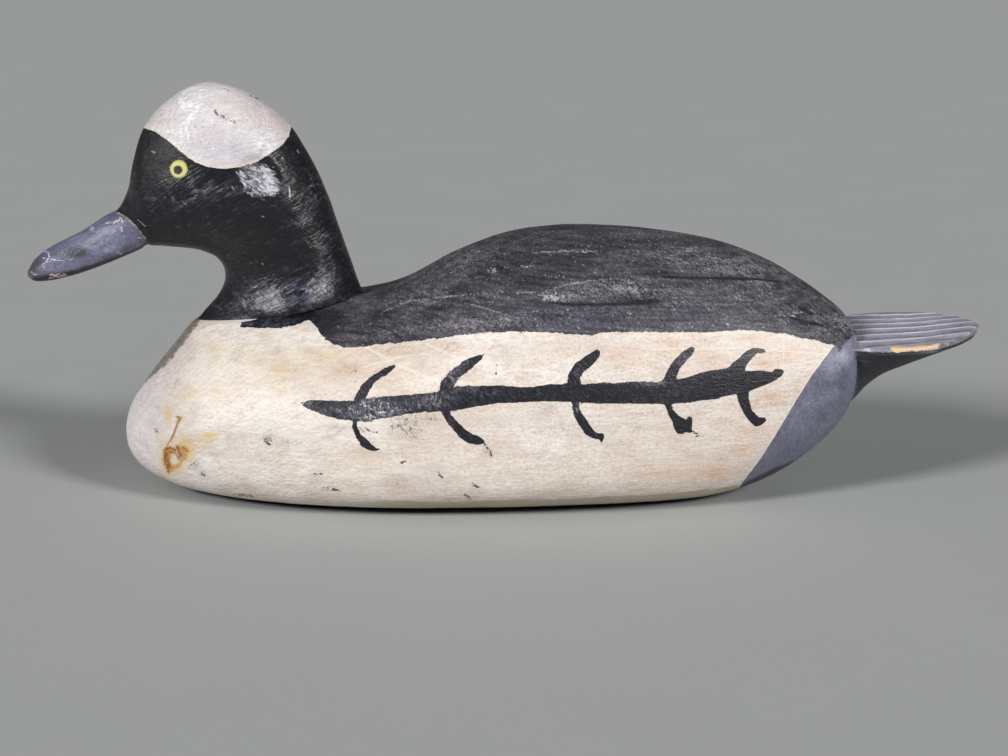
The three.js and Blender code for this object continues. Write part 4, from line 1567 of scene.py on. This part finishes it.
@dataclass(frozen=True)
class HeadPaint:
    """Brushed gloss black on the head and neck, a white crown, a blue-grey bill and a painted eye."""

    fleck: Colour = (190, 188, 196)
    # The pale and dark of the painted highlight behind the eye
    painted_sheen: Colour = (220, 216, 226)
    painted_sheen_dark: Colour = (70, 68, 82)
    crown: Colour = (228, 220, 221)
    crown_light: Colour = (246, 242, 243)
    # White of the painted highlights on the crown
    painted_glint: Colour = (255, 254, 255)
    crown_lilac: Colour = (210, 204, 214)
    crown_pink: Colour = (226, 210, 204)
    crown_rim: Colour = (238, 229, 216)
    sore: Colour = (64, 60, 74)
    bill: Colour = (112, 111, 134)
    bill_light: Colour = (156, 156, 186)
    bill_dark_and_shade: Colour = (72, 71, 81)
    bill_shade: Colour = (48, 47, 55)
    bare: Colour = (218, 200, 190)
    bare_red: Colour = (126, 84, 72)
    iris: Colour = (224, 222, 146)
    iris_edge: Colour = (158, 156, 62)
    pupil: Colour = (44, 40, 40)
    specular: float = 0.5

    def material(self) -> bpy.types.Material:
        """Lays the whole finish, in the order it was painted.

        Returns:
            The finished material.
        """
        paint = Coat("painted_head")
        self._black(paint)
        crown = self._crown(paint)
        bill = self._bill(paint)
        self._eye(paint)
        matt = paint.away(BROW).rise(44.0, 14.0) * (1.0 - crown) * 0.22
        roughness = 0.35 + paint.patches * 0.05 + crown * 0.03 + bill * 0.12 + matt
        return paint.close(paint.tint, roughness, paint.height, self.specular)

    def _black(self, paint: Coat) -> None:
        """The black of the face and neck, with scratches, flecks, a painted highlight and painted shade.

        Args:
            paint: the finish, still bare.
        """
        fine, fray = paint.fine, paint.fray
        tint, height = GlossBlack().mixed(paint, paint.zone("rubbed_and_sheen"), paint.zone("blue_rub_and_sheen"))
        wrinkles = paint.noise(1.6, (3, 2, 1), -30.0, 17.0, 2.0, bend=1.5)
        # Painted highlight: a pale wrinkled patch behind the eye, on the near side, brightest towards its
        # back
        painted_sheen = (paint.zone("painted_highlight_patch") * 0.45 + wrinkles * 0.8 + fray * 0.5).rise(-0.05, 0.6) * paint.near
        bright = wrinkles * 1.3 + fine * 0.5 + paint.column.rise(252.0, 268.0) * 0.5
        painted_shine = paint.mix(bright.rise(-0.6, 1.1), self.painted_sheen_dark, self.painted_sheen)
        tint = paint.mix(painted_sheen * 0.9, tint, painted_shine)
        tint = paint.mix((fine + paint.patches * 0.2).rise(1.15, 1.4) * 0.6, tint, self.fleck)
        # Darker round the brow, left of the eye: painted shade
        tint = paint.shade(tint, 1.0 - paint.away(BROW).rise(40.0, 14.0) * 0.4)
        tint = paint.mix(paint.drawn(HEAD_SCRATCHES, fray * 3.2) * 0.5, tint, self.fleck)
        paint.tint = paint.mix(paint.drawn(HEAD_CHIPS, fray * 1.6), tint, self.bare)
        paint.height = height + painted_sheen * (wrinkles * 0.12 + 0.02)

    def _crown(self, paint: Coat) -> Num:
        """The white patch over the crown, swept round with a brush, creamier at its rim.

        Args:
            paint: the finish so far.

        Returns:
            Where the patch lies.
        """
        depth = paint.zone("crown")
        swirl = paint.noise(1.0, (6, 4, 1), 6.0, 15.0, 2.0, bend=1.6)
        dabs = paint.noise(2.0, (2.2, 1.5, 1), 38.0, 18.0, 2.0, bend=1.0)
        white = paint.mix((paint.patches * 0.6 + dabs * 0.5).rise(-0.3, 0.9), self.crown, self.crown_light)
        lilac = paint.zone("lilac") * (0.8 + paint.patches * 0.5 + swirl * 0.4)
        white = paint.mix(lilac, white, self.crown_lilac)
        white = paint.mix(paint.zone("pink") * (0.8 + dabs * 0.5), white, self.crown_pink)
        white = paint.mix((depth + dabs * 0.4).rise(1.7, 0.9) * 0.7, white, self.crown_rim)
        turn = (paint.away(CROWN_MIDDLE) * 0.16 + dabs * 0.5 + swirl * 0.25).fraction() - 0.5
        arcs = 1.0 - turn.size() * 4.0
        white = paint.shade(white, 1.0 + swirl * 0.12 + paint.fine * 0.07 + dabs * 0.05 + arcs * 0.025)
        # Painted highlights: white glints on the crown's upper left and lower right, on the near side
        glints = [paint.away(spot).rise(far, close) for spot, far, close in CROWN_PAINTED_GLINTS]
        lit = glints[0].most(glints[1]) * paint.near
        white = paint.mix((lit * 0.9 + dabs * 0.9 + swirl * 0.7).rise(0.7, 1.2) * 0.9, white, self.painted_glint)
        sore = (paint.drawn(CROWN_SORES, dabs * 0.4) * 1.2 + paint.fine * 1.4).rise(1.05, 1.45)
        white = paint.mix(sore * 0.85, white, self.sore)
        relief = (1.0 - swirl.size() * 1.2) * 0.07 + dabs * 0.14 + arcs * 0.05 + 0.08
        return paint.lay((depth + paint.fray * 0.5).rise(-0.1, 0.1), white, relief)

    def _bill(self, paint: Coat) -> Num:
        """The blue-grey bill, darker below and at its tip, with rubs and chips.

        Args:
            paint: the finish so far.

        Returns:
            Where its paint lies.
        """
        fine, fray = paint.fine, paint.fray
        drift = paint.noise(2.6, (2, 1, 1), 30.0, 24.0, 2.0, bend=1.0)
        grey = paint.mix((drift * 0.6 + paint.zone("bill_pale")).rise(-0.1, 1.2), self.bill, self.bill_light)
        # Darker below and at the tip: painted shade under the bill, and darker paint
        grey = paint.mix(paint.zone("bill_dark_and_shade") + drift * 0.2, grey, self.bill_dark_and_shade)
        grey = paint.shade(grey, 1.0 + fine * 0.28 + drift * 0.08)
        grey = paint.mix((fine + drift * 0.5).rise(0.8, 1.3) * 0.45, grey, self.crown_lilac)
        grey = paint.mix(paint.drawn(BILL_SHADE, fray * 0.5) * 0.85, grey, self.bill_shade)
        scratches = paint.drawn(BILL_SCRATCHES, fine * 1.3) * (0.6 + drift * 0.5).least(0.9)
        grey = paint.mix(scratches, grey, self.crown_light)
        broken = paint.zone("bill_chip")
        chip = (broken + fine * 0.35).rise(0.25, 0.5) * paint.near
        sore = paint.mix((fine + broken * 0.8).rise(0.2, 0.7), self.bare_red, self.bare)
        grey = paint.mix(chip * 0.95, grey, sore)
        cover = (paint.zone("bill") + fray * 0.4).rise(-0.1, 0.1)
        paint.lay(cover, grey, fine * 0.05 + drift * 0.1)
        rim = paint.drawn(BILL_RIM, fray * 2.2) * (0.45 + drift * 0.6 + fine * 0.4)
        paint.stain(rim, self.bare)
        return cover

    def _eye(self, paint: Coat) -> None:
        """A painted ring of pale yellow round a dark pupil.

        Args:
            paint: the finish so far.
        """
        wobble = paint.fray * 1.3
        out = paint.away(EYE) + wobble
        ring = out.rise(EYE_RADIUS + 0.4, EYE_RADIUS - 0.4)
        edge = (out - EYE_RADIUS + 0.7).size().rise(1.2, 0.3) * 0.6
        iris = paint.mix(edge, self.iris, self.iris_edge)
        iris = paint.shade(iris, 1.0 + wobble * 0.08)
        inner = paint.away(PUPIL) + wobble
        iris = paint.mix((inner - PUPIL_RADIUS).size().rise(1.3, 0.3) * 0.5, iris, self.iris_edge)
        hole = inner.rise(PUPIL_RADIUS + 0.5, PUPIL_RADIUS - 0.5)
        paint.tint = paint.mix(hole, paint.mix(ring, paint.tint, iris), self.pupil)
        paint.height = paint.height * (1.0 - ring * 0.8) + ring * 0.1 - hole * 0.06


@dataclass(frozen=True)
class FloorPaper:
    """The plain pale paper that the decoy stands on."""

    tone: Colour = (180, 182, 181)

    def material(self) -> bpy.types.Material:
        """Mixes matte paper with a faint mottle.

        Returns:
            The finished material.
        """
        paint = Paint("floor_paper")
        mottle = paint.noise(60.0, seed=1.0) * 0.012 + paint.noise(1.4, seed=2.0) * 0.02
        return paint.close(paint.shade(self.tone, 1.0 + mottle), 0.85 + mottle, mottle * 0.5, 0.2)


# The pieces

SEAT_TOE: Point = (-105.8, 56.4)
SEAT_NAPE: Point = (-48.6, 66.4)
SEAT_GAP = 0.08
TAIL_ROOT = 108.0
TAIL_TIP = LENGTH / 2
GOUGES = 6
GOUGE_PITCH = 9.2
GOUGE_TAPER = 0.3
GOUGE_DEPTH = 0.8
SOLE_HEIGHT = 1.5
SOLE_DENSITY = 0.16

# Columns of the tail's rows, after x
HALF_WIDTH, TOP, DEPTH = 1, 2, 3

# The depth that a paint has where it can't lie
OUTSIDE = -9.0


@dataclass(frozen=True)
class ToolMarks:
    """The unevenness of a carved surface: its depth, its size and where its pattern starts."""

    depth: float
    size: float
    seed: float
    floor: float = 3.0

    def leave_on(self, piece: Piece, finish: bpy.types.Material) -> None:
        """Roughens a piece and gives it its finish.

        Args:
            piece: the piece, already carved.
            finish: its material.
        """
        relief_tree().run(piece, Depth=self.depth * MM, Size=self.size * MM, Seed=self.seed,
                          Floor=self.floor * MM, Finish=finish)


@dataclass(frozen=True)
class TailBlade:
    """The tail that is carved in one with the body, as rows of x, half width, top and depth.

    `camber` is how much lower its top lies at the edges than in the middle, and `keel` is the exponent of
    its underside. The edge is as thick as `edge`, or as that share of the depth where this is less.
    """

    rows: tuple[tuple[float, float, float, float], ...] = (
        (TAIL_TIP, 2.6, 55.6, 1.2),
        (162.0, 6.8, 55.6, 2.3),
        (158.5, 13.8, 55.5, 4.3),
        (153.5, 20.6, 55.0, 6.4),
        (148.0, 24.8, 54.4, 8.3),
        (142.0, 27.4, 53.8, 10.6),
        (136.0, 28.2, 53.5, 13.2),
        (130.0, 27.8, 53.3, 16.0),
        (125.0, 26.8, 53.1, 20.0),
        (121.0, 25.4, 53.0, 25.0),
        (117.0, 23.6, 52.9, 29.0),
        (113.0, 21.4, 52.8, 31.6),
        (TAIL_ROOT, 18.0, 52.6, 32.6),
    )
    edge: float = 2.2
    edge_share: float = 0.55
    camber: float = 0.8
    keel: float = 1.7
    furthest: float = 1.2
    top_steps: int = 124
    under_steps: int = 50
    spacing: float = 0.75

    def carve(self) -> Piece:
        """Carves the blade, with the gouge cuts along its top.

        Returns:
            The new object.
        """
        rows = np.array(self.rows)
        travelled = np.linalg.norm(np.diff(rows[:, :2], axis=0), axis=1).sum()
        shares = np.linspace(0.0, 1.0, round(travelled / self.spacing) + 1)
        sizes = SmoothRun(rows[:, [0, HALF_WIDTH, TOP]]).at(shares)
        depths = SmoothRun(rows[:, [0, DEPTH]]).at(shares)[:, 1]
        rings = np.array([self._ring(*size, depth) for size, depth in zip(sizes, depths, strict=True)])
        ends = [(row[0], 0.0, row[TOP] - row[DEPTH] / 2) for row in (self.rows[0], self.rows[-1])]
        blade = skin("tail_blade", rings, *ends)
        top = np.zeros(len(blade.data.vertices))
        on_top = np.arange(rings.shape[1]) <= self.top_steps
        top[1:-1] = np.tile(on_top, len(rings))
        write_attributes(blade, {"top": top})
        gouge_tree().run(blade, Count=float(GOUGES), Pitch=GOUGE_PITCH * MM, Depth=GOUGE_DEPTH * MM,
                         Taper=GOUGE_TAPER, Root=TAIL_ROOT * MM, Tip=TAIL_TIP * MM)
        return blade

    def _ring(self, x: float, half: float, top: float, depth: float) -> np.ndarray:
        """One section: across the cambered top, and back along the keeled underside.

        Args:
            x: where it lies along the blade.
            half: half its width.
            top: the height of its middle.
            depth: how deep it is there.

        Returns:
            The section's points.
        """
        over = np.linspace(1.0, -1.0, self.top_steps + 1)
        under = np.linspace(-1.0, 1.0, self.under_steps + 1)
        edge = min(self.edge, self.edge_share * depth)
        drop = edge + (depth - edge) * (1 - np.abs(under) ** self.keel)
        across = np.concatenate([over, under])
        height = top - self.camber * across**2 - np.concatenate([np.zeros_like(over), drop])
        return np.stack([np.full_like(across, x), across * half, height], axis=1)

    def top_at(self, x: np.ndarray, y: np.ndarray) -> np.ndarray:
        """The height of the blade's top before its gouges.

        Args:
            x: places along the blade.
            y: places across it.

        Returns:
            The height at each place.
        """
        out = np.minimum(np.abs(y) / self.size_at(x, HALF_WIDTH), self.furthest)
        return self.size_at(x, TOP) - self.camber * out**2

    def bottom_at(self, x: np.ndarray, y: np.ndarray) -> np.ndarray:
        """The height of the blade's underside.

        Args:
            x: places along the blade.
            y: places across it.

        Returns:
            The height at each place.
        """
        out = np.minimum(np.abs(y) / self.size_at(x, HALF_WIDTH), 1.0)
        return self.top_at(x, y) - self.edge - (self.size_at(x, DEPTH) - self.edge) * (1.0 - out**self.keel)

    def size_at(self, x: np.ndarray, column: int) -> np.ndarray:
        """One column of the blade's rows at places along it."""
        rows = np.array(self.rows)[::-1]
        return np.interp(x, rows[:, 0], rows[:, column])


def flank_density(height: np.ndarray) -> np.ndarray:
    """How closely the body's points lie: wide apart under the planed bottom, and close elsewhere."""
    return np.where(height < SOLE_HEIGHT, SOLE_DENSITY, 1.0)


def ahead(x: np.ndarray, start: float, length: float) -> np.ndarray:
    """0 behind a place, 1 from a length ahead of it, towards the bill, and an even rise between."""
    return np.clip((start - x) / length, 0.0, 1.0)


@dataclass(frozen=True)
class BodyBlock:
    """The body from rump to breast, with its tail, its flat bottom and the sawn seat of the neck.

    `planed` and `sawn` are the corners of what is cut off it. `collar` and the sizes of the painted cool
    shade on the front of the breast say where a tone starts and over what length it grows to its full
    strength. The `tail_` sizes say how far the tail's paints reach. `zones` and `spots` are the outlines
    and soft marks that its mesh carries for the paint.
    """

    stations: tuple[Station, ...] = (
        Station((120.6, 47.2), (120.2, 38.4), 9.0, 0.5, 2.0, 2.0),
        Station((120.2, 52.2), (119.0, 31.6), 18.8, 0.42, 2.4, 2.4),
        Station((118.8, 56.2), (116.6, 25.4), 24.8, 0.4, 2.6, 2.6),
        Station((116.0, 59.6), (112.0, 19.4), 28.0, 0.42, 2.4, 2.8),
        Station((110.5, 64.2), (104.8, 13.2), 31.6, 0.48, 2.2, 3.0),
        Station((101.5, 70.6), (95.0, 7.0), 35.2, 0.54, 2.1, 3.2),
        Station((89.5, 77.4), (83.0, 2.2), 39.6, 0.58, 2.1, 3.4),
        Station((74.0, 83.2), (69.0, -0.4), 44.3, 0.6, 2.1, 3.7),
        Station((57.0, 86.5), (54.0, -1.0), 48.8, 0.61, 2.1, 3.9),
        Station((39.0, 88.3), (37.0, -1.0), 52.7, 0.61, 2.1, 4.0),
        Station((19.0, 88.5), (18.0, -1.0), 55.5, 0.61, 2.1, 4.1),
        Station((0.0, 85.6), (0.0, -1.0), 57.0, 0.61, 2.1, 4.2),
        Station((-17.0, 79.0), (-15.0, -1.0), 57.2, 0.6, 2.1, 4.2),
        Station((-35.0, 69.5), (-32.0, -1.0), 56.8, 0.58, 2.1, 4.2),
        Station((-46.5, 66.5), (-43.0, -1.0), 56.0, 0.56, 2.05, 4.2),
        Station((-60.0, 65.6), (-56.0, -1.0), 54.5, 0.56, 2.0, 4.1),
        Station((-76.0, 64.5), (-71.0, -1.0), 51.5, 0.56, 2.0, 3.9),
        Station((-91.5, 61.8), (-85.0, -0.8), 47.0, 0.56, 1.85, 3.7),
        Station((-105.3, 57.4), (-98.5, -0.2), 41.0, 0.56, 1.75, 3.4),
        Station((-113.3, 48.8), (-109.0, 0.8), 34.5, 0.56, 1.8, 3.1),
        Station((-120.7, 39.8), (-118.0, 2.8), 27.0, 0.54, 1.9, 2.7),
        Station((-126.4, 32.0), (-125.0, 5.8), 19.5, 0.52, 2.0, 2.4),
        Station((-129.8, 26.0), (-129.4, 10.0), 12.0, 0.5, 2.0, 2.1),
        Station((-131.3, 20.6), (-131.1, 14.8), 4.5, 0.5, 2.0, 2.0),
    )
    breast_pole: tuple[float, float, float] = (-131.6, 0.0, 18.0)
    spacing: float = 1.08
    crown_steps: int = 76
    keel_steps: int = 56
    tail: TailBlade = TailBlade()
    marks: ToolMarks = ToolMarks(0.16, 13.0, 4.0)
    hollows: tuple[Hollow, ...] = (
        Hollow(((352, 322), (378, 319), (416, 304), (464, 298), (520, 300)), 3.0, 0.45),
        Hollow(((540, 304), (590, 305), (640, 300)), 1.8, 0.35),
        Hollow(((540, 290), (575, 286), (625, 284)), 2.4, -0.25),
        Hollow(((374, 325), (388, 327), (398, 333), (405, 341)), 0.6, 0.25, near_only=True),
        Hollow(((765, 303), (790, 312), (820, 322)), 1.6, 0.3),
        Hollow(((838, 350), (846, 342), (856, 333)), 1.0, 0.25),
    )
    chip_depth: float = 0.9
    chip_slope: float = 0.8
    chip_side: float = -8.0
    collar: tuple[float, float] = (-52.0, 12.0)
    # Where the painted cool shade on the breast starts, the length it grows over, and its strength
    cool_shade: tuple[float, float] = (-96.0, 30.0)
    cool_shade_share: float = 0.8
    tail_start: float = TAIL_ROOT + 4.0
    tail_top_start: float = 119.0
    tail_top_edge: float = 121.5
    tail_skin: float = 1.3
    tail_rim: float = 1.25
    tail_under: float = 1.5
    planed: tuple[tuple[float, float, float], ...] = ((-LENGTH, -LENGTH, -40.0), (LENGTH, LENGTH, 0.0))
    sawn: tuple[tuple[float, float, float], ...] = ((-90.0, -70.0, 0.0), (0.0, 70.0, 60.0))
    zones: ClassVar[dict[str, Outline]] = {
        "black": BLACK_BACK, "stern": STERN, "breast": BREAST_WEAR, "stern_foot_shadow": STERN_FOOT_SHADOW,
    }
    spots: ClassVar[dict[str, Spots]] = {
        "warm": WARM_SPOTS, "peach": PEACH_SPOTS, "grime": GRIME_SPOTS, "stain": STAIN_SPOTS,
        "rust_halo": RUST_HALO_SPOTS, "rubbed_and_sheen": RUBBED_AND_SHEEN_SPOTS, "scuff_and_glint": SCUFF_AND_GLINT_SPOTS, "blue": BLUE_SPOTS,
        "dark_streak": DARK_STREAK_SPOTS, "dry": DRY_SPOTS, "collar_rub_and_sheen": BLUE_RUB_AND_SHEEN_SPOTS,
        "stern_light": STERN_LIGHT_SPOTS,
    }

    def build(self, finish: bpy.types.Material) -> Piece:
        """Carves the body and lays out its paint.

        Args:
            finish: its material.

        Returns:
            The finished piece, not yet riding on anything.
        """
        form = Loft(self.stations, self.breast_pole, self.spacing, self.crown_steps, self.keel_steps,
                    flank_density)
        body = form.mesh("painted_body")
        change(body, self.tail.carve(), Cut.JOIN)
        change(body, block("planed_off", *self.planed), Cut.TAKE)
        tilt = math.atan2(SEAT_NAPE[1] - SEAT_TOE[1], SEAT_NAPE[0] - SEAT_TOE[0])
        hinge = (SEAT_NAPE[0], 0.0, SEAT_NAPE[1] - SEAT_GAP)
        change(body, block("sawn_off", *self.sawn, tilt, hinge), Cut.TAKE)
        self.marks.leave_on(body, finish)
        carve_hollows(body, self.hollows)
        self._break_chip(body)
        self._lay_out_paint(body)
        return body

    def _break_chip(self, body: Piece) -> None:
        """Breaks a splinter off the near edge of the tail.

        Args:
            body: the body, already carved.
        """
        points = vertices_of(body)
        depth = zone_depth(VIEW.seen(points), TAIL_CHIP)
        broken = np.clip(depth / self.chip_slope, 0.0, 1.0) * (points[:, 1] < 0) * (points[:, 0] > TAIL_ROOT)
        points[:, 1] += self.chip_depth * broken
        move_vertices(body, points)

    def _lay_out_paint(self, body: Piece) -> None:
        """Stores where each paint lies on the body.

        Args:
            body: the body, already carved.
        """
        points = vertices_of(body)
        places = VIEW.seen(points)
        x, y, _ = points.T
        branch = zone_depth(places, BRANCH_STEM)
        for path, widths in BRANCH_BARBS:
            branch = np.maximum(branch, -path_distance(places, path, widths) * VIEW.mm_per_pixel)
        write_attributes(body, {"seen": np.column_stack([places, y < 0]), "branch": branch})
        write_attributes(body, {name: zone_depth(places, outline) for name, outline in self.zones.items()})
        write_attributes(body, {name: soft_spots(places, spots) for name, spots in self.spots.items()})
        cool_shade = ahead(x, *self.cool_shade) * self.cool_shade_share
        write_attributes(body, {"collar": ahead(x, *self.collar), "cool_shade": cool_shade})
        write_attributes(body, self._tail_paint(points, places))

    def _tail_paint(self, points: np.ndarray, places: np.ndarray) -> dict[str, np.ndarray]:
        """Where the paints of the tail lie.

        Args:
            points: the body's vertices.
            places: where they show in the picture.

        Returns:
            How deep each vertex lies in each of them, by name.
        """
        x, y, z = points.T
        above = z - self.tail.top_at(x, y)
        on_tail = x > self.tail_start
        side = np.where(on_tail, zone_depth(places, TAIL_SIDE), OUTSIDE)
        side = np.minimum(side, z - self.tail.bottom_at(x, y) + self.tail_under)
        on_top = (above > -self.tail_skin) & (x > self.tail_top_start)
        chipped = on_tail & (y < self.chip_side)
        return {
            "tail": np.where(on_top, np.maximum(side, x - self.tail_top_edge), side),
            "tail_top": np.where(on_tail, above + self.tail_rim, OUTSIDE),
            "tail_rim": np.where(on_tail, self.tail.size_at(x, HALF_WIDTH) - np.abs(y), -OUTSIDE),
            "chip": np.where(chipped, zone_depth(places, TAIL_CHIP), OUTSIDE),
        }


@dataclass(frozen=True)
class HeadBlock:
    """The head with its neck and bill, carved from a second block.

    The `foot_` sizes bound the foot of the neck, which is kept off the seat, and `shade_slope` is how
    softly the shade under the bill ends. `zones` and `spots` are what its mesh carries for the paint.
    """

    stations: tuple[Station, ...] = (
        Station(SEAT_NAPE, SEAT_TOE, 20.3, 0.41, 1.5, 1.25),
        Station((-50.4, 71.0), (-103.0, 59.8), 18.4, 0.43, 1.7, 1.4),
        Station((-52.8, 78.2), (-98.6, 64.8), 16.4, 0.46, 1.9, 1.7),
        Station((-56.2, 88.3), (-96.2, 70.4), 15.6, 0.48, 2.1, 2.0),
        Station((-60.7, 101.5), (-96.1, 75.0), 17.0, 0.52, 2.1, 2.0),
        Station((-67.2, 115.2), (-98.3, 78.6), 19.6, 0.55, 2.1, 2.0),
        Station((-76.0, 127.5), (-102.8, 80.8), 21.6, 0.57, 2.1, 2.0),
        Station((-88.5, 135.4), (-108.0, 81.8), 22.2, 0.57, 2.2, 2.0),
        Station((-101.0, 138.0), (-113.0, 82.2), 21.2, 0.56, 2.2, 2.0),
        Station((-112.4, 132.9), (-117.0, 82.5), 18.8, 0.54, 2.1, 2.0),
        Station((-121.5, 123.2), (-119.8, 82.6), 15.8, 0.54, 2.1, 2.1),
        Station((-125.6, 111.4), (-121.3, 82.8), 13.2, 0.55, 2.1, 2.2),
        Station((-127.6, 102.4), (-122.2, 82.6), 11.7, 0.56, 2.2, 2.3),
        Station((-131.2, 95.6), (-123.6, 81.8), 10.9, 0.58, 2.3, 2.5),
        Station((-136.8, 92.2), (-129.6, 79.0), 10.0, 0.6, 2.3, 2.6),
        Station((-144.3, 87.3), (-138.2, 75.6), 9.4, 0.6, 2.3, 2.6),
        Station((-151.5, 83.8), (-146.8, 72.6), 9.5, 0.6, 2.3, 2.6),
        Station((-157.6, 80.3), (-154.4, 70.8), 9.4, 0.6, 2.3, 2.5),
        Station((-161.2, 77.0), (-160.2, 70.4), 7.8, 0.58, 2.2, 2.3),
        Station((-163.0, 74.2), (-162.8, 71.4), 3.8, 0.5, 2.0, 2.0),
    )
    bill_pole: tuple[float, float, float] = (-LENGTH / 2, 0.0, 72.8)
    spacing: float = 0.72
    crown_steps: int = 56
    keel_steps: int = 52
    marks: ToolMarks = ToolMarks(0.2, 9.0, 2.0)
    hollows: tuple[Hollow, ...] = (
        Hollow(((172, 204), (200, 200), (228, 203), (258, 208)), 2.6, 0.7),
        Hollow(((168, 190), (200, 188), (240, 187), (262, 190)), 2.6, -0.5),
        Hollow(((116, 211), (132, 222), (143, 236), (147, 246)), 0.9, 0.25),
        Hollow(((232, 282), (262, 276), (300, 270)), 2.8, 0.5),
        Hollow(((224, 312), (262, 311), (300, 305), (330, 296)), 2.8, -0.8),
    )
    facets: tuple[Facet, ...] = (Facet((260, 182), (0.38, -0.88, 0.28), 0.7, 9.5),)
    foot_height: float = 4.0
    foot_top: float = 72.0
    foot_front: float = 3.0
    shade_slope: float = 1.2
    zones: ClassVar[dict[str, Outline]] = {"painted_highlight_patch": HIGHLIGHT_PATCH_OUTLINE, "crown": CROWN_PATCH, "bill": BILL_PATCH}
    spots: ClassVar[dict[str, Spots]] = {
        "rubbed_and_sheen": HEAD_RUB_AND_SHEEN_SPOTS, "blue_rub_and_sheen": BLUE_RUB_AND_SHEEN_SPOTS, "lilac": CROWN_LILAC_SPOTS,
        "pink": CROWN_PINK_SPOTS, "bill_pale": BILL_PALE_SPOTS, "bill_chip": BILL_CHIP_SPOTS,
    }

    def build(self, finish: bpy.types.Material) -> Piece:
        """Carves the head and lays out its paint.

        Args:
            finish: its material.

        Returns:
            The finished piece, not yet riding on anything.
        """
        form = Loft(self.stations, self.bill_pole, self.spacing, self.crown_steps, self.keel_steps)
        head = form.mesh("painted_head")
        self.marks.leave_on(head, finish)
        carve_hollows(head, self.hollows)
        pare(head, self.facets)
        self._rest_on_seat(head)
        self._lay_out_paint(head)
        return head

    def _rest_on_seat(self, head: Piece) -> None:
        """Keeps the foot of the neck off the seat that it is glued on.

        Args:
            head: the head, already carved.
        """
        points = vertices_of(head)
        slope = (SEAT_NAPE[1] - SEAT_TOE[1]) / (SEAT_NAPE[0] - SEAT_TOE[0])
        seat = SEAT_TOE[1] + slope * (points[:, 0] - SEAT_TOE[0])
        x, _, z = points.T
        foot = (z < seat + self.foot_height) & (z < self.foot_top) & (x > SEAT_TOE[0] - self.foot_front)
        points[:, 2] = np.where(foot, np.maximum(z, seat), z)
        move_vertices(head, points)

    def _lay_out_paint(self, head: Piece) -> None:
        """Stores where each paint lies on the head.

        Args:
            head: the head, already carved.
        """
        points = vertices_of(head)
        places = VIEW.seen(points)
        # Painted shade under the bill, joined with the darker paint of its tip
        under = np.clip(zone_depth(places, BILL_UNDERSIDE) / self.shade_slope + 0.5, 0.0, 1.0)
        dark = np.maximum(under, soft_spots(places, BILL_DARK_SPOTS))
        write_attributes(head, {"seen": np.column_stack([places, points[:, 1] < 0]), "bill_dark_and_shade": dark})
        write_attributes(head, {name: zone_depth(places, outline) for name, outline in self.zones.items()})
        write_attributes(head, {name: soft_spots(places, spots) for name, spots in self.spots.items()})


@dataclass(frozen=True)
class Studio:
    """A plain pale floor under soft, far lamps on either side of the camera.

    Each lamp is the direction it shines from, its strength and how wide it looks, in degrees.
    """

    floor_radius: float = 9.0
    floor_points: int = 96
    world_tone: Colour = (205, 206, 209)
    world_strength: float = 0.13
    lamps: tuple[tuple[tuple[float, float, float], float, float], ...] = (
        ((-1.5, -1.15, 1.0), 2.2, 14.0),
        ((1.5, -1.15, 1.0), 1.96, 14.0),
    )

    def build(self) -> None:
        """Adds the floor, the lamps and the light all round."""
        turns = np.linspace(0, 2 * math.pi, self.floor_points, endpoint=False)
        ring = np.column_stack([np.cos(turns), np.sin(turns), np.zeros_like(turns)]) * self.floor_radius
        mesh = bpy.data.meshes.new("floor")
        mesh.from_pydata(ring.tolist(), [], [list(range(len(turns)))])
        mesh.materials.append(FloorPaper().material())
        shown("floor", mesh)
        for number, (source, strength, width) in enumerate(self.lamps):
            data = bpy.data.lights.new(f"lamp_{number}", "SUN")
            data.energy = strength
            data.angle = math.radians(width)
            lamp = bpy.data.objects.new(f"lamp_{number}", data)
            lamp.location = source
            fall = math.atan2(math.hypot(source[0], source[1]), source[2])
            lamp.rotation_euler = (fall, 0.0, math.atan2(-source[1], -source[0]) - math.pi / 2)
            bpy.context.scene.collection.objects.link(lamp)
        world = bpy.data.worlds.new("studio")
        world.use_nodes = True
        tree = Tree(world.node_tree)
        values = {"Color": linear(self.world_tone), "Strength": self.world_strength}
        glow = tree.node("ShaderNodeBackground", None, values)
        tree.node("ShaderNodeOutputWorld", None, {"Surface": glow.outputs[0]})
        bpy.context.scene.world = world
        bpy.context.scene.view_settings.view_transform = "Standard"


def finish_piece(piece: Piece, node: str) -> None:
    """Smooths a piece, hangs it under the root, and hides the solid that it stands for.

    Args:
        piece: the finished mesh.
        node: the solid's name.
    """
    piece.data.shade_smooth()
    piece.data.set_sharp_from_angle(angle=SHARP_ANGLE)
    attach(piece, "root")
    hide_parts(node)
    piece.data.calc_loop_triangles()
    LOG.info("%s stands for %s: %d triangles", piece.name, node, len(piece.data.loop_triangles))


def main() -> None:
    """Builds the decoy and the studio round it."""
    logging.basicConfig(level=logging.INFO, format="%(message)s")
    VIEW.place()
    finish_piece(BodyBlock().build(BodyPaint().material()), "carved_body")
    finish_piece(HeadBlock().build(HeadPaint().material()), "carved_head")
    Studio().build()


if __name__ == "__main__":
    main()
